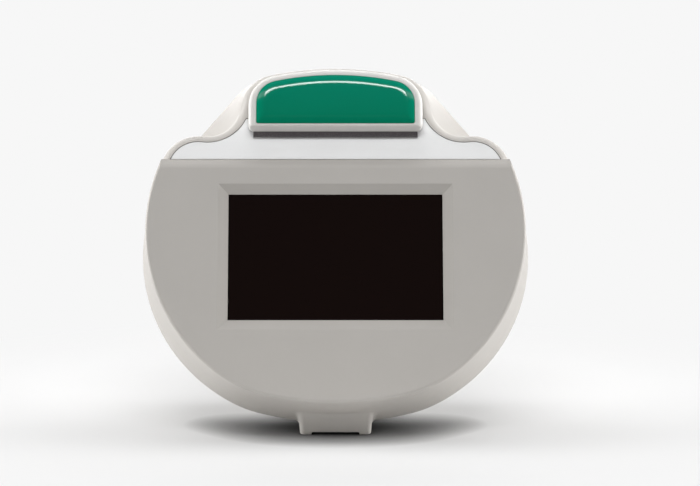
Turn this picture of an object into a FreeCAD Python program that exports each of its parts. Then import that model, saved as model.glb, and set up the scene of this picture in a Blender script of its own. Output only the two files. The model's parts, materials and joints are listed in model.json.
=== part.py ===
import FreeCAD, Part
import math
import os
import re

import Sketcher
from FreeCAD import Placement, Rotation, Vector

# Rapid test reader: a disc-shaped housing leans back on a small front foot and a rear stand leg.
# A touch screen fills its face, and a test drawer under the raised hump carries a strip cassette
# in, where a driven read head scans it from above.
#
# Most pieces are drawn in the face frame: X to the right, Y up along the face, Z out of the face
# towards the user, with zero at the height of the disc's middle. SIZES below names these
# directions u, v and w. Every piece in the face frame gets the same leaning Placement.

SIZES = [
    # attitude
    ("face_lean", 22.0, "degrees that the face leans back from upright"),
    ("floor_clearance", 3.85, "height of the shells' joint over the floor at its lowest"),
    # outline of the face, as arcs that run into each other
    ("hump_top", 92.1, "top of the hump"),
    ("hump_top_radius", 157.5, ""),
    ("hump_corner_radius", 18.0, ""),
    ("hump_side_u", 48.2, "a point on the straight side of the hump"),
    ("hump_side_v", 71.1, ""),
    ("hump_side_slope", 80.0, "degrees of that side from level"),
    ("waist_radius", 17.6, "hollow curve between hump and shoulder"),
    ("shoulder_u", 70.4, "centre of the shoulder's curve"),
    ("shoulder_v", 37.2, ""),
    ("shoulder_radius", 19.3, ""),
    ("side_v", 5.7, "height of the centre of the side's curve"),
    ("side_radius", 93.3, ""),
    ("corner_share", 0.716, "radius between side and bottom, over the side's radius"),
    ("turn_slope", 51.1, "degrees below level where the side runs into the curve below it"),
    ("rear_turn_slope", 62.9, "the same at the joint"),
    ("bottom_share", 1.702, "radius of the bottom, over the side's radius"),
    # the same outline where the two shells meet
    ("rear_top", 101.5, ""),
    ("rear_top_radius", 155.0, ""),
    ("rear_corner_radius", 24.0, ""),
    ("rear_side_u", 56.4, ""),
    ("rear_side_v", 83.0, ""),
    ("rear_side_slope", 50.0, ""),
    ("rear_waist_radius", 9.0, ""),
    ("shoulder_flare", 0.5, "how far the shoulder spreads from the face to the joint"),
    ("side_tuck", 5.5, "how much smaller the side's radius is at the joint"),
    ("side_sag", 4.0, "how much lower the side's centre lies at the joint"),
    # shells
    ("shell_wall", 2.5, ""),
    ("face_wall", 3.2, ""),
    ("edge_round", 1.5, "rounding of the face's edge"),
    ("joint_depth", 40.0, "depth of the joint between the shells"),
    ("joint_gap", 0.3, ""),
    ("dish_depth", 20.0, "depth of the rear shell"),
    ("dish_inset", 13.0, "how far its flat back lies inside the joint's outline"),
    ("hump_start", 3.0, "depth behind the joint at which the rear hump rises out of the dish"),
    # screen
    ("screen_width", 109.0, "opening in the face"),
    ("screen_height", 65.6, ""),
    ("screen_centre_v", -8.4, ""),
    ("bevel_width", 5.2, "sloped border of the opening"),
    ("bevel_depth", 2.0, ""),
    ("glass_recess", 2.4, "depth of the glass below the face"),
    ("glass_border", 3.0, "how far the glass runs under the face"),
    ("glass_thick", 1.1, ""),
    ("gasket_thick", 0.6, ""),
    ("gasket_width", 2.5, ""),
    ("lcd_width", 120.7, ""),
    ("lcd_height", 75.8, ""),
    ("lcd_thick", 4.2, ""),
    ("bracket_thick", 1.2, ""),
    ("bracket_height", 66.0, ""),
    ("bracket_screw_u", 66.0, ""),
    ("bracket_screw_v", 27.0, "from the screen's centre"),
    ("cable_side", 10.0, "half width of the display's flat cable"),
    ("cable_thick", 0.5, ""),
    ("cable_gap", 1.7, "between bracket and cable"),
    # white panel and the rim round it, a step lower than the face
    ("rim_drop", 1.6, "depth of the rim below the face"),
    ("rim_round", 5.6, "rounding of the rim's outer edge"),
    ("step_width", 2.9, "width of the sloped step down from the face"),
    ("step_round_width", 2.3, "width of the curve above it"),
    ("step_fall", 1.15, "how far the sloped part falls"),
    ("panel_bottom", 43.1, ""),
    ("panel_middle", 58.6, "top of the panel below the port"),
    ("panel_top", 64.5, "top of the panel beside the port"),
    ("panel_inset", 4.3, "width of the rim"),
    ("panel_sink", 0.3, "depth of the panel below the rim"),
    ("panel_thick", 0.8, ""),
    ("panel_gap", 0.3, ""),
    # drawer front
    ("grip_side", 44.5, ""),
    ("grip_corner_radius", 16.0, ""),
    ("grip_top", 88.7, ""),
    ("grip_top_radius", 154.1, ""),
    ("grip_bottom", 57.0, ""),
    ("grip_foot_radius", 3.4, ""),
    ("grip_back", -0.6, "height of the grip's back over the face"),
    ("grip_front", 6.6, ""),
    ("grip_round", 2.5, ""),
    ("grip_lip", 1.5, "rise of the grip's underside at its front"),
    ("grip_heel", 0.35, "and at its back"),
    ("label_border", 4.1, "grip seen round the green label"),
    ("label_top_border", 3.5, ""),
    ("label_bottom_border", 2.8, ""),
    ("label_foot_radius", 1.0, ""),
    ("label_gap", 0.2, ""),
    ("label_sink", 0.6, ""),
    ("label_rise", 0.3, ""),
    ("label_dome", 1.2, ""),
    ("label_crown_width", 5.0, ""),
    ("seal_thick", 0.6, ""),
    ("seal_width", 1.5, ""),
    ("seal_lap", 1.0, "from the edge of the port to the seal"),
    ("seal_lip", 3.0, "how far the seal shows below the grip"),
    ("seal_lip_side", 42.0, ""),
    # drawer
    ("drawer_travel", 66.0, ""),
    ("port_side", 37.6, "half width of the drawer port in the face"),
    ("port_low", 59.2, ""),
    ("port_high", 73.5, ""),
    ("tray_side", 30.0, ""),
    ("tray_low", 59.7, ""),
    ("tray_high", 68.0, ""),
    ("tray_hold", 18.0, "length of the tray that stays in its rails when the drawer is out"),
    ("tray_stop", 2.0, "from the tray's rear end to the rear cross wall"),
    ("runner_side", 35.0, ""),
    ("runner_low", 62.2, ""),
    ("runner_high", 65.2, ""),
    ("slide_gap", 0.4, "clearance round the runners"),
    ("cassette_front", 6.3, "depth of the cassette's front end"),
    ("cassette_length", 70.0, ""),
    ("cassette_width", 20.0, ""),
    ("cassette_thick", 5.0, ""),
    ("cassette_rise", 1.2, "height of the cassette over the tray"),
    ("cassette_gap", 0.25, ""),
    ("window_width", 3.8, "reading window in the cassette"),
    ("window_length", 20.0, ""),
    ("window_depth", 40.0, "depth of the window's middle behind the face"),
    ("well_radius", 1.9, "sample well"),
    ("well_depth", 16.0, "depth of the well's middle behind the face"),
    ("strip_thick", 0.3, ""),
    ("strip_end", 4.2, "from each end of the cassette to the strip"),
    ("strip_depth", 1.9, "underside of the strip below the cassette's top"),
    ("magnet_u", -20.0, ""),
    ("magnet_radius", 3.0, ""),
    ("magnet_thick", 1.4, ""),
    ("catch_rise", 1.0, "how far the fixed magnet stands out of the rear cross wall"),
    # reader chassis
    ("frame_side", 38.0, "inner half width"),
    ("frame_wall", 2.0, ""),
    ("frame_low", 54.0, ""),
    ("frame_side_high", 80.0, ""),
    ("frame_tower_side", 29.0, ""),
    ("frame_high", 87.0, ""),
    ("frame_front", 9.0, "depth of the front cross wall"),
    ("beam_low", 73.6, "underside of the cross beams over the tray"),
    ("ear_u", 33.0, "screw ears under the front cross wall"),
    ("ear_v", 49.5, ""),
    ("ear_radius", 4.0, ""),
    ("rail_depth", 5.0, "width of each rail"),
    ("pad_thick", 1.2, "insulation under the heater"),
    ("heater_thick", 2.0, ""),
    ("heater_side", 27.0, ""),
    ("detector_u", 14.0, "drawer switch"),
    ("detector_width", 12.0, ""),
    ("detector_depth", 5.0, ""),
    # read head
    ("rod_radius", 1.5, ""),
    ("rod_u", 23.0, ""),
    ("rod_v", 82.0, ""),
    ("screw_u", 13.0, "lead screw"),
    ("screw_radius", 1.6, ""),
    ("bore_play", 0.05, "running clearance in each bore"),
    ("head_side", 27.5, ""),
    ("head_low", 75.0, ""),
    ("head_high", 87.8, ""),
    ("head_front", 14.0, "depth of the head's front end at rest"),
    ("head_length", 20.0, ""),
    ("head_travel", 36.0, ""),
    ("head_stop", 6.0, "from the head's rearmost place to the plate that carries the motor"),
    ("eye_radius", 6.5, "well in the head for the lens"),
    ("lens_radius", 4.6, ""),
    ("lens_length", 7.6, ""),
    ("camera_side", 12.0, ""),
    ("circuit_thick", 1.2, ""),
    ("circuit_depth", 9.0, "half depth of the camera and lamp boards"),
    ("sensor_side", 3.6, ""),
    ("sensor_thick", 1.4, ""),
    ("lamp_radius", 1.3, ""),
    ("lamp_rise", 1.0, ""),
    ("lamp_u", 7.0, ""),
    ("lamp_w", 5.0, ""),
    ("lamp_eye", 3.2, "hole in the lamp board for the lens"),
    ("motor_radius", 7.5, ""),
    ("motor_length", 13.0, ""),
    # rear hump and its cover
    ("pack_side", 46.0, ""),
    ("pack_low", 32.0, ""),
    ("pack_corner_radius", 14.0, ""),
    ("pack_foot_radius", 12.0, ""),
    ("pack_step", 0.6, "from the joint's outline down to the rear hump"),
    ("pack_depth", 97.0, ""),
    ("cover_wall", 2.2, ""),
    ("cover_round", 5.0, ""),
    ("cover_screw_u", 38.0, ""),
    ("cover_screw_low", 42.0, ""),
    ("cover_screw_high", 87.0, ""),
    ("vent_width", 1.8, ""),
    ("vent_pitch", 5.2, ""),
    ("vent_length", 20.0, ""),
    ("vent_low", 38.0, ""),
    ("vent_count", 9, ""),
    # main board
    ("board_width", 124.0, ""),
    ("board_height", 80.0, ""),
    ("board_centre_v", -15.0, ""),
    ("board_depth", 44.4, ""),
    ("board_thick", 1.6, ""),
    ("board_screw_u", 57.0, ""),
    ("board_screw_v", 35.0, "from the board's centre"),
    ("post_radius", 3.6, ""),
    ("processor_side", 10.0, ""),
    ("processor_low", -6.0, "from the board's centre"),
    ("processor_thick", 2.2, ""),
    ("chip_width", 11.0, ""),
    ("chip_height", 14.0, ""),
    ("chip_low", -4.0, "from the board's centre"),
    ("chip_thick", 1.2, ""),
    ("buzzer_u", 40.0, ""),
    ("buzzer_v", 26.0, "from the board's centre"),
    ("buzzer_radius", 6.0, ""),
    ("ribbon_socket_side", 12.0, ""),
    ("ribbon_socket_low", -34.0, "from the board's centre"),
    ("ribbon_socket_height", 5.0, ""),
    ("ribbon_socket_thick", 2.6, ""),
    ("jack_u", -54.0, ""),
    ("jack_v", -30.0, ""),
    ("jack_half_width", 5.0, ""),
    ("jack_half_height", 5.5, ""),
    ("jack_bore", 2.75, ""),
    ("jack_pin", 1.0, ""),
    ("jack_deep", 9.0, ""),
    ("usb_u", -36.0, ""),
    ("usb_v", -30.0, ""),
    ("usb_half_width", 3.6, ""),
    ("usb_half_height", 7.2, ""),
    ("usb_wall", 1.0, ""),
    ("usb_deep", 11.0, ""),
    ("socket_height", 13.4, ""),
    ("socket_gap", 0.3, ""),
    # power button
    ("button_u", 58.0, ""),
    ("button_v", -6.0, ""),
    ("button_radius", 6.2, ""),
    ("button_gap", 0.3, ""),
    ("button_rise", 1.6, ""),
    ("button_travel", 1.2, ""),
    ("switch_height", 3.5, ""),
    ("switch_half", 3.0, ""),
    ("flange_spread", 1.5, "how far the button's flange runs past its cap"),
    ("flange_thick", 1.4, ""),
    ("stem_radius", 2.0, ""),
    # rating plate
    ("plate_left", 24.0, ""),
    ("plate_width", 32.0, ""),
    ("plate_low", -46.0, ""),
    ("plate_height", 20.0, ""),
    ("plate_thick", 0.3, ""),
    # stand
    ("foot_setback", 9.0, "front foot's front, before the face frame's zero"),
    ("foot_depth", 22.0, ""),
    ("foot_side", 18.0, ""),
    ("foot_spread", 3.0, "how far the foot widens towards the shell"),
    ("foot_lead", 1.8, "how far its front comes forward towards the shell"),
    ("foot_root", 2.9, "height of its top over the bottom of the face"),
    ("foot_round", 2.5, ""),
    ("foot_toe_round", 1.2, "rounding of its bottom edges"),
    ("foot_blend", 4.0, "hollow curve where it runs into the shell"),
    ("foot_notch_side", 12.2, ""),
    ("foot_notch_height", 1.5, ""),
    ("foot_notch_round", 0.8, ""),
    ("leg_side", 18.0, ""),
    ("leg_seat_high", -24.0, ""),
    ("leg_seat_low", -60.0, ""),
    ("leg_clear", 4.0, "leg's height over the floor"),
    ("leg_wall", 2.8, ""),
    ("leg_toe", 7.0, "from the foot of its seat back to its level underside"),
    ("leg_round", 2.0, ""),
    ("heel_length", 4.0, "from the rear foot's front to where the leg's back meets it"),
    ("heel_rise", 2.5, ""),
    ("leg_screw_side", 9.0, ""),
    ("leg_screw_inset", 9.0, "from the ends of the leg's seat"),
    ("bar_side", 38.0, "half width of the rear foot"),
    ("bar_front", 84.0, "place of the rear foot behind zero"),
    ("bar_depth", 20.0, ""),
    ("bar_height", 8.0, ""),
    ("bar_round", 3.0, ""),
    ("rubber_radius", 6.0, ""),
    ("rubber_side", 29.0, ""),
    ("rubber_height", 2.4, ""),
    ("rubber_rise", 1.2, "how far the rubber stands out of the rear foot"),
    ("rubber_gap", 0.1, ""),
    # screws
    ("shank_radius", 1.5, ""),
    ("head_radius", 2.8, ""),
    ("head_thick", 1.8, ""),
    ("boss_radius", 4.0, ""),
    ("boss_bore", 12.0, "depth of the screws' bores in the front shell's bosses"),
    ("small_boss_bore", 4.2, ""),
    ("small_shank", 1.1, ""),
    ("small_head", 2.1, ""),
    ("small_head_thick", 1.3, ""),
    ("thread_play", 0.05, "between a screw's shank and its boss"),
    ("shank_play", 0.2, "between a screw's shank and the part it passes through"),
    ("head_play", 0.3, "between a screw's head and its counterbore"),
    ("shell_screw_side_u", 80.0, ""),
    ("shell_screw_side_v", 2.0, ""),
    ("shell_screw_top_u", 64.0, ""),
    ("shell_screw_top_v", 38.0, ""),
    ("shell_screw_low_u", 37.0, ""),
    ("shell_screw_low_v", -65.0, ""),
    ("shell_screw_sink", 4.0, "depth of its head below the back"),
    ("shell_screw_length", 25.0, ""),
    ("bracket_boss_radius", 3.0, ""),
    ("cover_boss_radius", 6.4, ""),
    ("cover_boss_depth", 12.0, "depth of the bosses that take its screws"),
    ("cover_screw_grip", 6.0, "length of the screws in the rear shell"),
    ("cover_screw_sink", 2.2, ""),
    ("leg_pad_depth", 13.0, "depth of the leg's screw pads"),
    ("leg_pad_half", 5.0, "from the screw to the pad's inner edge"),
    ("leg_screw_length", 8.0, "in the pad"),
]

# places that follow from the sizes
DERIVED = {
    "tray_end": "drawer_travel + tray_hold",
    "frame_rear": "tray_end + tray_stop",
    "motor_plate": "head_front + head_length + head_travel + head_stop",
}

SHELL_SCREWS = ("side", "top", "low")   # names of the pairs of screws that join the two shells
OVER = 1.0    # how far a cutter runs past the surface it cuts
ROOT = 0.2    # how far a boss runs into the wall that it stands on

doc = FreeCAD.newDocument("RapidTestReader")
sheet = doc.addObject("Spreadsheet::Sheet", "Size")
rows = {}     # row of each named cell
nodes = []


def set_cell(alias, value, note=""):
    """Put a named value on the sheet, or change the one that is there."""
    if alias not in rows:
        rows[alias] = len(rows) + 1
        sheet.set("A%d" % rows[alias], alias)
        sheet.set("C%d" % rows[alias], note)
        sheet.setAlias("B%d" % rows[alias], alias)
    sheet.set("B%d" % rows[alias], str(value))


for alias, value, note in SIZES:
    set_cell(alias, value, note)
doc.recompute()


def val(alias):
    """Value of a cell of the sheet."""
    return float(sheet.get(alias))


def beyond():
    """A length past the whole object, for cutters that run out on every side."""
    return 3 * val("side_radius")


def reader_box(low, high):
    """Cutter across the whole width, from one (v, w) to another."""
    return box_between((-beyond(), low[0], low[1]), (beyond(), high[0], high[1]))


def formula(text):
    """Expression over the sheet: each alias in the text gets the sheet's name in front."""
    def spelled(match):
        word = match.group()
        if word in DERIVED:
            return "(%s)" % formula(DERIVED[word])
        return "Size." + word if word in rows else word
    return re.sub(r"[a-z_]+", spelled, text)


def bind(obj, **properties):
    for name, text in properties.items():
        obj.setExpression(name.replace("__", "."), formula(text))
    return obj


def lean(obj):
    """Bind an object's Placement to the leaning face frame."""
    obj.Placement.Rotation = Rotation(Vector(1, 0, 0), 45)
    return bind(obj, Placement__Rotation__Angle="90 - face_lean", Placement__Base__y="face_setback",
                Placement__Base__z="face_height")


def level(obj):
    """Bind an object that stands square to the floor."""
    return bind(obj, Placement__Base__y="face_setback")


def node(obj, label, place=lean):
    """Name a finished piece, place it and put it on the list of nodes."""
    if obj.TypeId in ("Part::Box", "Part::Cylinder"):
        obj = group(obj.Name + "_piece", [obj])
    obj.Label = label
    nodes.append(place(obj))
    return obj


# ---------------------------------------------------------------- primitives bound to the sheet

def block(name, u, v, w):
    """Part::Box between pairs of formulas."""
    box = doc.addObject("Part::Box", name)
    return bind(box, Length="(%s) - (%s)" % (u[1], u[0]), Width="(%s) - (%s)" % (v[1], v[0]),
                Height="(%s) - (%s)" % (w[1], w[0]), Placement__Base__x=u[0],
                Placement__Base__y=v[0], Placement__Base__z=w[0])


def rod(name, radius, u, v, w):
    """Part::Cylinder; the one of u, v and w that is a pair of formulas is its direction."""
    bar = doc.addObject("Part::Cylinder", name)
    spans = [u, v, w]
    along = [isinstance(span, tuple) for span in spans].index(True)
    turn = [Rotation(Vector(0, 1, 0), 90), Rotation(Vector(1, 0, 0), -90), Rotation()][along]
    bar.Placement = Placement(Vector(), turn)
    start = [span[0] if isinstance(span, tuple) else span for span in spans]
    return bind(bar, Radius=radius, Height="(%s) - (%s)" % (spans[along][1], spans[along][0]),
                Placement__Base__x=start[0], Placement__Base__y=start[1], Placement__Base__z=start[2])


def join(name, shapes):
    fused = doc.addObject("Part::MultiFuse", name)
    fused.Shapes = shapes
    fused.Refine = True
    return fused


def cut(name, base, tools):
    result = doc.addObject("Part::Cut", name)
    result.Base = base
    result.Tool = tools[0] if len(tools) == 1 else join(name + "_tools", tools)
    result.Refine = True
    return result


def group(name, shapes):
    """Separate solids kept in one node."""
    bundle = doc.addObject("Part::Compound", name)
    bundle.Links = shapes
    return bundle


def minus(text):
    return "-(%s)" % text


def both_sides(text):
    return (minus(text), text)


# ---------------------------------------------------------------- PartDesign plates

def origin_plane(body, role):
    return [part for part in body.Origin.OriginFeatures if part.Role == role][0]


class Profile:
    """Sketch parallel to the face whose corners and centres are bound to the sheet."""

    def __init__(self, body, name, height):
        self.sketch = body.newObject("Sketcher::SketchObject", name)
        self.sketch.AttachmentSupport = (origin_plane(body, "XY_Plane"), [""])
        self.sketch.MapMode = "FlatFace"
        bind(self.sketch, AttachmentOffset__Base__z=height)

    def _drive(self, geometry, point, x, y):
        for kind, text in (("DistanceX", x), ("DistanceY", y)):
            number = self.sketch.addConstraint(Sketcher.Constraint(kind, -1, 1, geometry, point, 1.0))
            self.sketch.setExpression("Constraints[%d]" % number, formula(text))

    def rectangle(self, u, v):
        corners = [Vector(0, 0, 0), Vector(1, 0, 0), Vector(1, 1, 0), Vector(0, 1, 0)]
        first = self.sketch.GeometryCount
        for i in range(4):
            self.sketch.addGeometry(Part.LineSegment(corners[i], corners[(i + 1) % 4]))
        for i in range(4):
            self.sketch.addConstraint(Sketcher.Constraint("Coincident", first + i, 2,
                                                          first + (i + 1) % 4, 1))
            side = "Vertical" if i % 2 else "Horizontal"
            self.sketch.addConstraint(Sketcher.Constraint(side, first + i))
        self._drive(first, 1, u[0], v[0])
        self._drive(first + 2, 1, u[1], v[1])
        return self

    def circle(self, u, v, radius):
        number = self.sketch.addGeometry(Part.Circle(Vector(1, 1, 0), Vector(0, 0, 1), 1.0))
        self._drive(number, 3, u, v)
        size = self.sketch.addConstraint(Sketcher.Constraint("Radius", number, 1.0))
        self.sketch.setExpression("Constraints[%d]" % size, formula(radius))
        return self


def plate(name, u, v, w, holes=(), windows=(), corner=None):
    """PartDesign body: a padded rectangle with round holes, windows and rounded corners."""
    body = doc.addObject("PartDesign::Body", name)
    profile = Profile(body, name + "_profile", w[0]).rectangle(u, v)
    for hole in holes:
        profile.circle(*hole)
    for window in windows:
        profile.rectangle(*window)
    pad = body.newObject("PartDesign::Pad", name + "_pad")
    pad.Profile = profile.sketch
    bind(pad, Length="(%s) - (%s)" % (w[1], w[0]))
    if corner:
        doc.recompute()
        box = pad.Shape.BoundBox
        upright = []
        for i, edge in enumerate(pad.Shape.Edges, start=1):
            middle = edge.BoundBox.Center
            at_corner = (abs(abs(middle.x - box.Center.x) - box.XLength / 2) < 1e-6
                         and abs(abs(middle.y - box.Center.y) - box.YLength / 2) < 1e-6)
            if at_corner and edge.BoundBox.ZLength > 1e-3:
                upright.append("Edge%d" % i)
        fillet = body.newObject("PartDesign::Fillet", name + "_corners")
        fillet.Base = (pad, upright)
        bind(fillet, Radius=corner)
    return body


# ---------------------------------------------------------------- outlines of tangent arcs

def unit(vector):
    return Vector(vector).normalize()


def arc(centre, radius, start, end):
    """Edge of the short arc from one point to another round a centre."""
    middle = centre + unit((start - centre) + (end - centre)) * radius
    return Part.Arc(start, middle, end).toShape()


def mirrored(point):
    return Vector(-point.x, point.y, point.z)


def slide_to_circle(point, step, centre, distance):
    """Nearest point along point + s * step that lies at the distance from the centre."""
    away = point - centre
    half = away.dot(step)
    root = math.sqrt(half * half - away.dot(away) + distance * distance)
    shift = min(-half + root, -half - root, key=abs)
    return point + step * shift


def circles_meet(first, first_radius, second, second_radius):
    """The meeting point of two circles that lies lower and further out."""
    apart = second - first
    length = apart.Length
    along = (first_radius ** 2 - second_radius ** 2 + length ** 2) / (2 * length)
    across = math.sqrt(first_radius ** 2 - along ** 2)
    foot = first + unit(apart) * along
    normal = Vector(-apart.y, apart.x, 0).normalize()
    return max(foot + normal * across, foot - normal * across, key=lambda point: point.x)


def blended(front, rear, blend):
    return val(front) * (1 - blend) + val(rear) * blend


def side_circle(blend):
    """Centre and radius of the side's curve."""
    radius = val("side_radius") - val("side_tuck") * blend
    shoulder_radius = val("shoulder_radius") + val("shoulder_flare") * blend
    height = val("side_v") - val("side_sag") * blend
    reach, drop = radius - shoulder_radius, val("shoulder_v") - height
    return Vector(val("shoulder_u") - math.sqrt(reach ** 2 - drop ** 2), height, 0), radius


def bottom_radius():
    return val("bottom_share") * val("side_radius")


def bottom_at(end, slope):
    """Lowest point of the outline at one end of the front shell, 0 at the face and 1 at the joint."""
    side, radius = side_circle(end)
    turn_radius, angle = val("corner_share") * radius, math.radians(val(slope))
    turn = side + Vector(math.cos(angle), -math.sin(angle), 0) * (radius - turn_radius)
    reach = bottom_radius() - turn_radius
    return turn.y + math.sqrt(reach ** 2 - turn.x ** 2) - bottom_radius()


def bottom_v(blend):
    return bottom_at(0, "turn_slope") * (1 - blend) + bottom_at(1, "rear_turn_slope") * blend


def outline(depth, blend=0.0, grow=0.0):
    """Closed wire of the housing: blend runs from 0 at the face to 1 at the joint."""
    top = blended("hump_top", "rear_top", blend)
    top_radius = blended("hump_top_radius", "rear_top_radius", blend)
    corner_radius = blended("hump_corner_radius", "rear_corner_radius", blend)
    waist_radius = blended("waist_radius", "rear_waist_radius", blend)
    slope = math.radians(blended("hump_side_slope", "rear_side_slope", blend))
    side_point = Vector(blended("hump_side_u", "rear_side_u", blend),
                        blended("hump_side_v", "rear_side_v", blend), 0)
    down = Vector(math.cos(slope), -math.sin(slope), 0)
    out = Vector(math.sin(slope), math.cos(slope), 0)
    # centres, from the hump's top round to the bottom
    crown = Vector(0, top - top_radius, 0)
    corner = slide_to_circle(side_point - out * corner_radius, down * -1, crown,
                             top_radius - corner_radius)
    shoulder = Vector(val("shoulder_u"), val("shoulder_v"), 0)
    shoulder_radius = val("shoulder_radius") + val("shoulder_flare") * blend
    waist = slide_to_circle(side_point + out * waist_radius, down, shoulder,
                            shoulder_radius + waist_radius)
    side, side_radius = side_circle(blend)
    turn_radius = val("corner_share") * side_radius
    base_radius, bottom = bottom_radius(), bottom_v(blend)
    base = Vector(0, bottom + base_radius, 0)
    turn = circles_meet(base, base_radius - turn_radius, side, side_radius - turn_radius)
    # points where one curve runs into the next
    joints = [
        crown + unit(corner - crown) * (top_radius + grow),
        corner + out * (corner_radius + grow),
        waist - out * (waist_radius - grow),
        waist + unit(shoulder - waist) * (waist_radius - grow),
        side + unit(shoulder - side) * (side_radius + grow),
        side + unit(turn - side) * (side_radius + grow),
        base + unit(turn - base) * (base_radius + grow),
    ]
    curves = [(corner, corner_radius + grow), None, (waist, waist_radius - grow),
              (shoulder, shoulder_radius + grow), (side, side_radius + grow), (turn, turn_radius + grow)]
    right, left = [], []
    for i, curve in enumerate(curves):
        start, end = joints[i], joints[i + 1]
        if curve is None:
            right.append(Part.LineSegment(start, end).toShape())
            left.append(Part.LineSegment(mirrored(end), mirrored(start)).toShape())
        else:
            right.append(arc(curve[0], curve[1], start, end))
            left.append(arc(mirrored(curve[0]), curve[1], mirrored(end), mirrored(start)))
    over = Part.Arc(mirrored(joints[0]), Vector(0, top + grow, 0), joints[0]).toShape()
    under = Part.Arc(joints[-1], Vector(0, bottom - grow, 0), mirrored(joints[-1])).toShape()
    wire = Part.Wire([over] + right + [under] + left[::-1])
    wire.translate(Vector(0, 0, depth))
    return wire


# the face frame's zero: its height follows from the outline, and its place along Y from the finished box
tilt = math.radians(val("face_lean"))
joint_drop = val("joint_depth") * math.sin(tilt) - bottom_v(1) * math.cos(tilt)
set_cell("face_height", val("floor_clearance") + joint_drop, "height of the face frame's zero over the floor")
set_cell("face_setback", 0.0, "place of the face frame's zero along Y")
doc.recompute()


def arch(side, low, top, top_radius, corner_radius, foot_radius, depth):
    """Closed wire with a curved top, round corners, straight sides and a flat bottom."""
    crown = Vector(0, top - top_radius, 0)
    reach = top_radius - corner_radius
    corner = Vector(side - corner_radius, 0, 0)
    corner.y = crown.y + math.sqrt(reach ** 2 - corner.x ** 2)
    foot = Vector(side - foot_radius, low + foot_radius, 0)
    shoulder = crown + unit(corner - crown) * top_radius
    points = [shoulder, corner + Vector(corner_radius, 0, 0), foot + Vector(foot_radius, 0, 0),
              foot - Vector(0, foot_radius, 0)]
    edges = [Part.Arc(mirrored(shoulder), Vector(0, top, 0), shoulder).toShape(),
             arc(corner, corner_radius, points[0], points[1]),
             Part.LineSegment(points[1], points[2]).toShape(),
             arc(foot, foot_radius, points[2], points[3]),
             Part.LineSegment(points[3], mirrored(points[3])).toShape(),
             arc(mirrored(foot), foot_radius, mirrored(points[3]), mirrored(points[2])),
             Part.LineSegment(mirrored(points[2]), mirrored(points[1])).toShape(),
             arc(mirrored(corner), corner_radius, mirrored(points[1]), mirrored(points[0]))]
    wire = Part.Wire(edges)
    wire.translate(Vector(0, 0, depth))
    return wire


def extruded(wire, length):
    return Part.Face(wire).extrude(Vector(0, 0, length))


def box_between(low, high):
    low, high = Vector(*low), Vector(*high)
    return Part.makeBox(high.x - low.x, high.y - low.y, high.z - low.z, low)


def bar_along_w(radius, u, v, low, high):
    return Part.makeCylinder(radius, high - low, Vector(u, v, low), Vector(0, 0, 1))


def feature(name, shape):
    """Part::Feature for a shape that sketches and primitives don't reach."""
    if not shape.isValid():
        raise RuntimeError(name + " is not a valid shape")
    obj = doc.addObject("Part::Feature", name)
    obj.Shape = shape
    return obj


def edges_where(shape, test):
    return [edge for edge in shape.Edges if test(edge)]


def lies_at(edge, depth):
    box = edge.BoundBox
    return abs(box.ZMin - depth) < 1e-4 and abs(box.ZMax - depth) < 1e-4


# ---------------------------------------------------------------- front shell

WALL_STEPS = (0.15, 0.5, 1.0)   # places along the side wall where its outline is given
SADDLE_POWER = 1.5              # the shoulders sweep outwards faster towards the joint


def wall_outline(depth, grow=0.0):
    share = max(0.0, min(1.0, depth / val("joint_depth")))
    return outline(-depth, share ** SADDLE_POWER, grow)


def face_cavity():
    """Space inside the front shell, open at the joint."""
    depths = [val("face_wall")] + [share * val("joint_depth") for share in WALL_STEPS]
    wires = [wall_outline(depth, -val("shell_wall")) for depth in depths]
    mouth = outline(-val("joint_depth") - OVER, 1.0, -val("shell_wall"))
    inner = Part.makeLoft(wires, True, False)
    return inner.fuse(Part.makeLoft([wires[-1], mouth], True, True))


def world_to_face(shape):
    """Bring a shape drawn square to the floor into the face frame."""
    moved = shape.copy()
    frame = Placement(Vector(0, 0, val("face_height")), Rotation(Vector(1, 0, 0), 90 - val("face_lean")))
    moved.transformShape(frame.inverse().toMatrix())
    return moved


FOOT_SPREAD = ((0.0, 0.0), (0.45, 0.35), (1.0, 1.0))   # shares of its height, and of its spread there


def front_foot():
    """Small foot drawn square to the floor, widening upwards into the shell."""
    front = -val("foot_setback")
    face_bottom = val("face_height") + bottom_v(0) * math.cos(math.radians(val("face_lean")))
    height = face_bottom + val("foot_root")
    wires = []
    for share, spread in FOOT_SPREAD:
        side = val("foot_side") + val("foot_spread") * spread
        lead = front - val("foot_lead") * spread
        corners = [Vector(-side, lead, height * share), Vector(side, lead, height * share),
                   Vector(side, lead + val("foot_depth"), height * share),
                   Vector(-side, lead + val("foot_depth"), height * share)]
        wires.append(Part.makePolygon(corners + corners[:1]))
    foot = Part.makeLoft(wires, True, False)
    upright = edges_where(foot, lambda edge: edge.BoundBox.ZLength > height * 0.9
                          and edge.BoundBox.YMax < 0)
    foot = foot.makeFillet(val("foot_round"), upright)
    foot = foot.makeFillet(val("foot_toe_round"), edges_where(foot, lambda edge: lies_at(edge, 0.0)))
    notch_side, notch_top = val("foot_notch_side"), val("foot_notch_height")
    notch = box_between((-notch_side, -beyond(), -OVER), (notch_side, beyond(), notch_top))
    ridge = edges_where(notch, lambda edge: lies_at(edge, notch_top) and edge.BoundBox.YLength > notch_side)
    return foot.cut(notch.makeFillet(val("foot_notch_round"), ridge))


def seam_edges(fused, first, second):
    """Edges of the fused shape that lie on the skins of both of its parts."""
    def on_both(edge):
        middle = Part.Vertex(edge.valueAt((edge.FirstParameter + edge.LastParameter) / 2))
        return all(middle.distToShape(shape.Shells[0])[0] < 1e-3 for shape in (first, second))
    return edges_where(fused, on_both)


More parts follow.
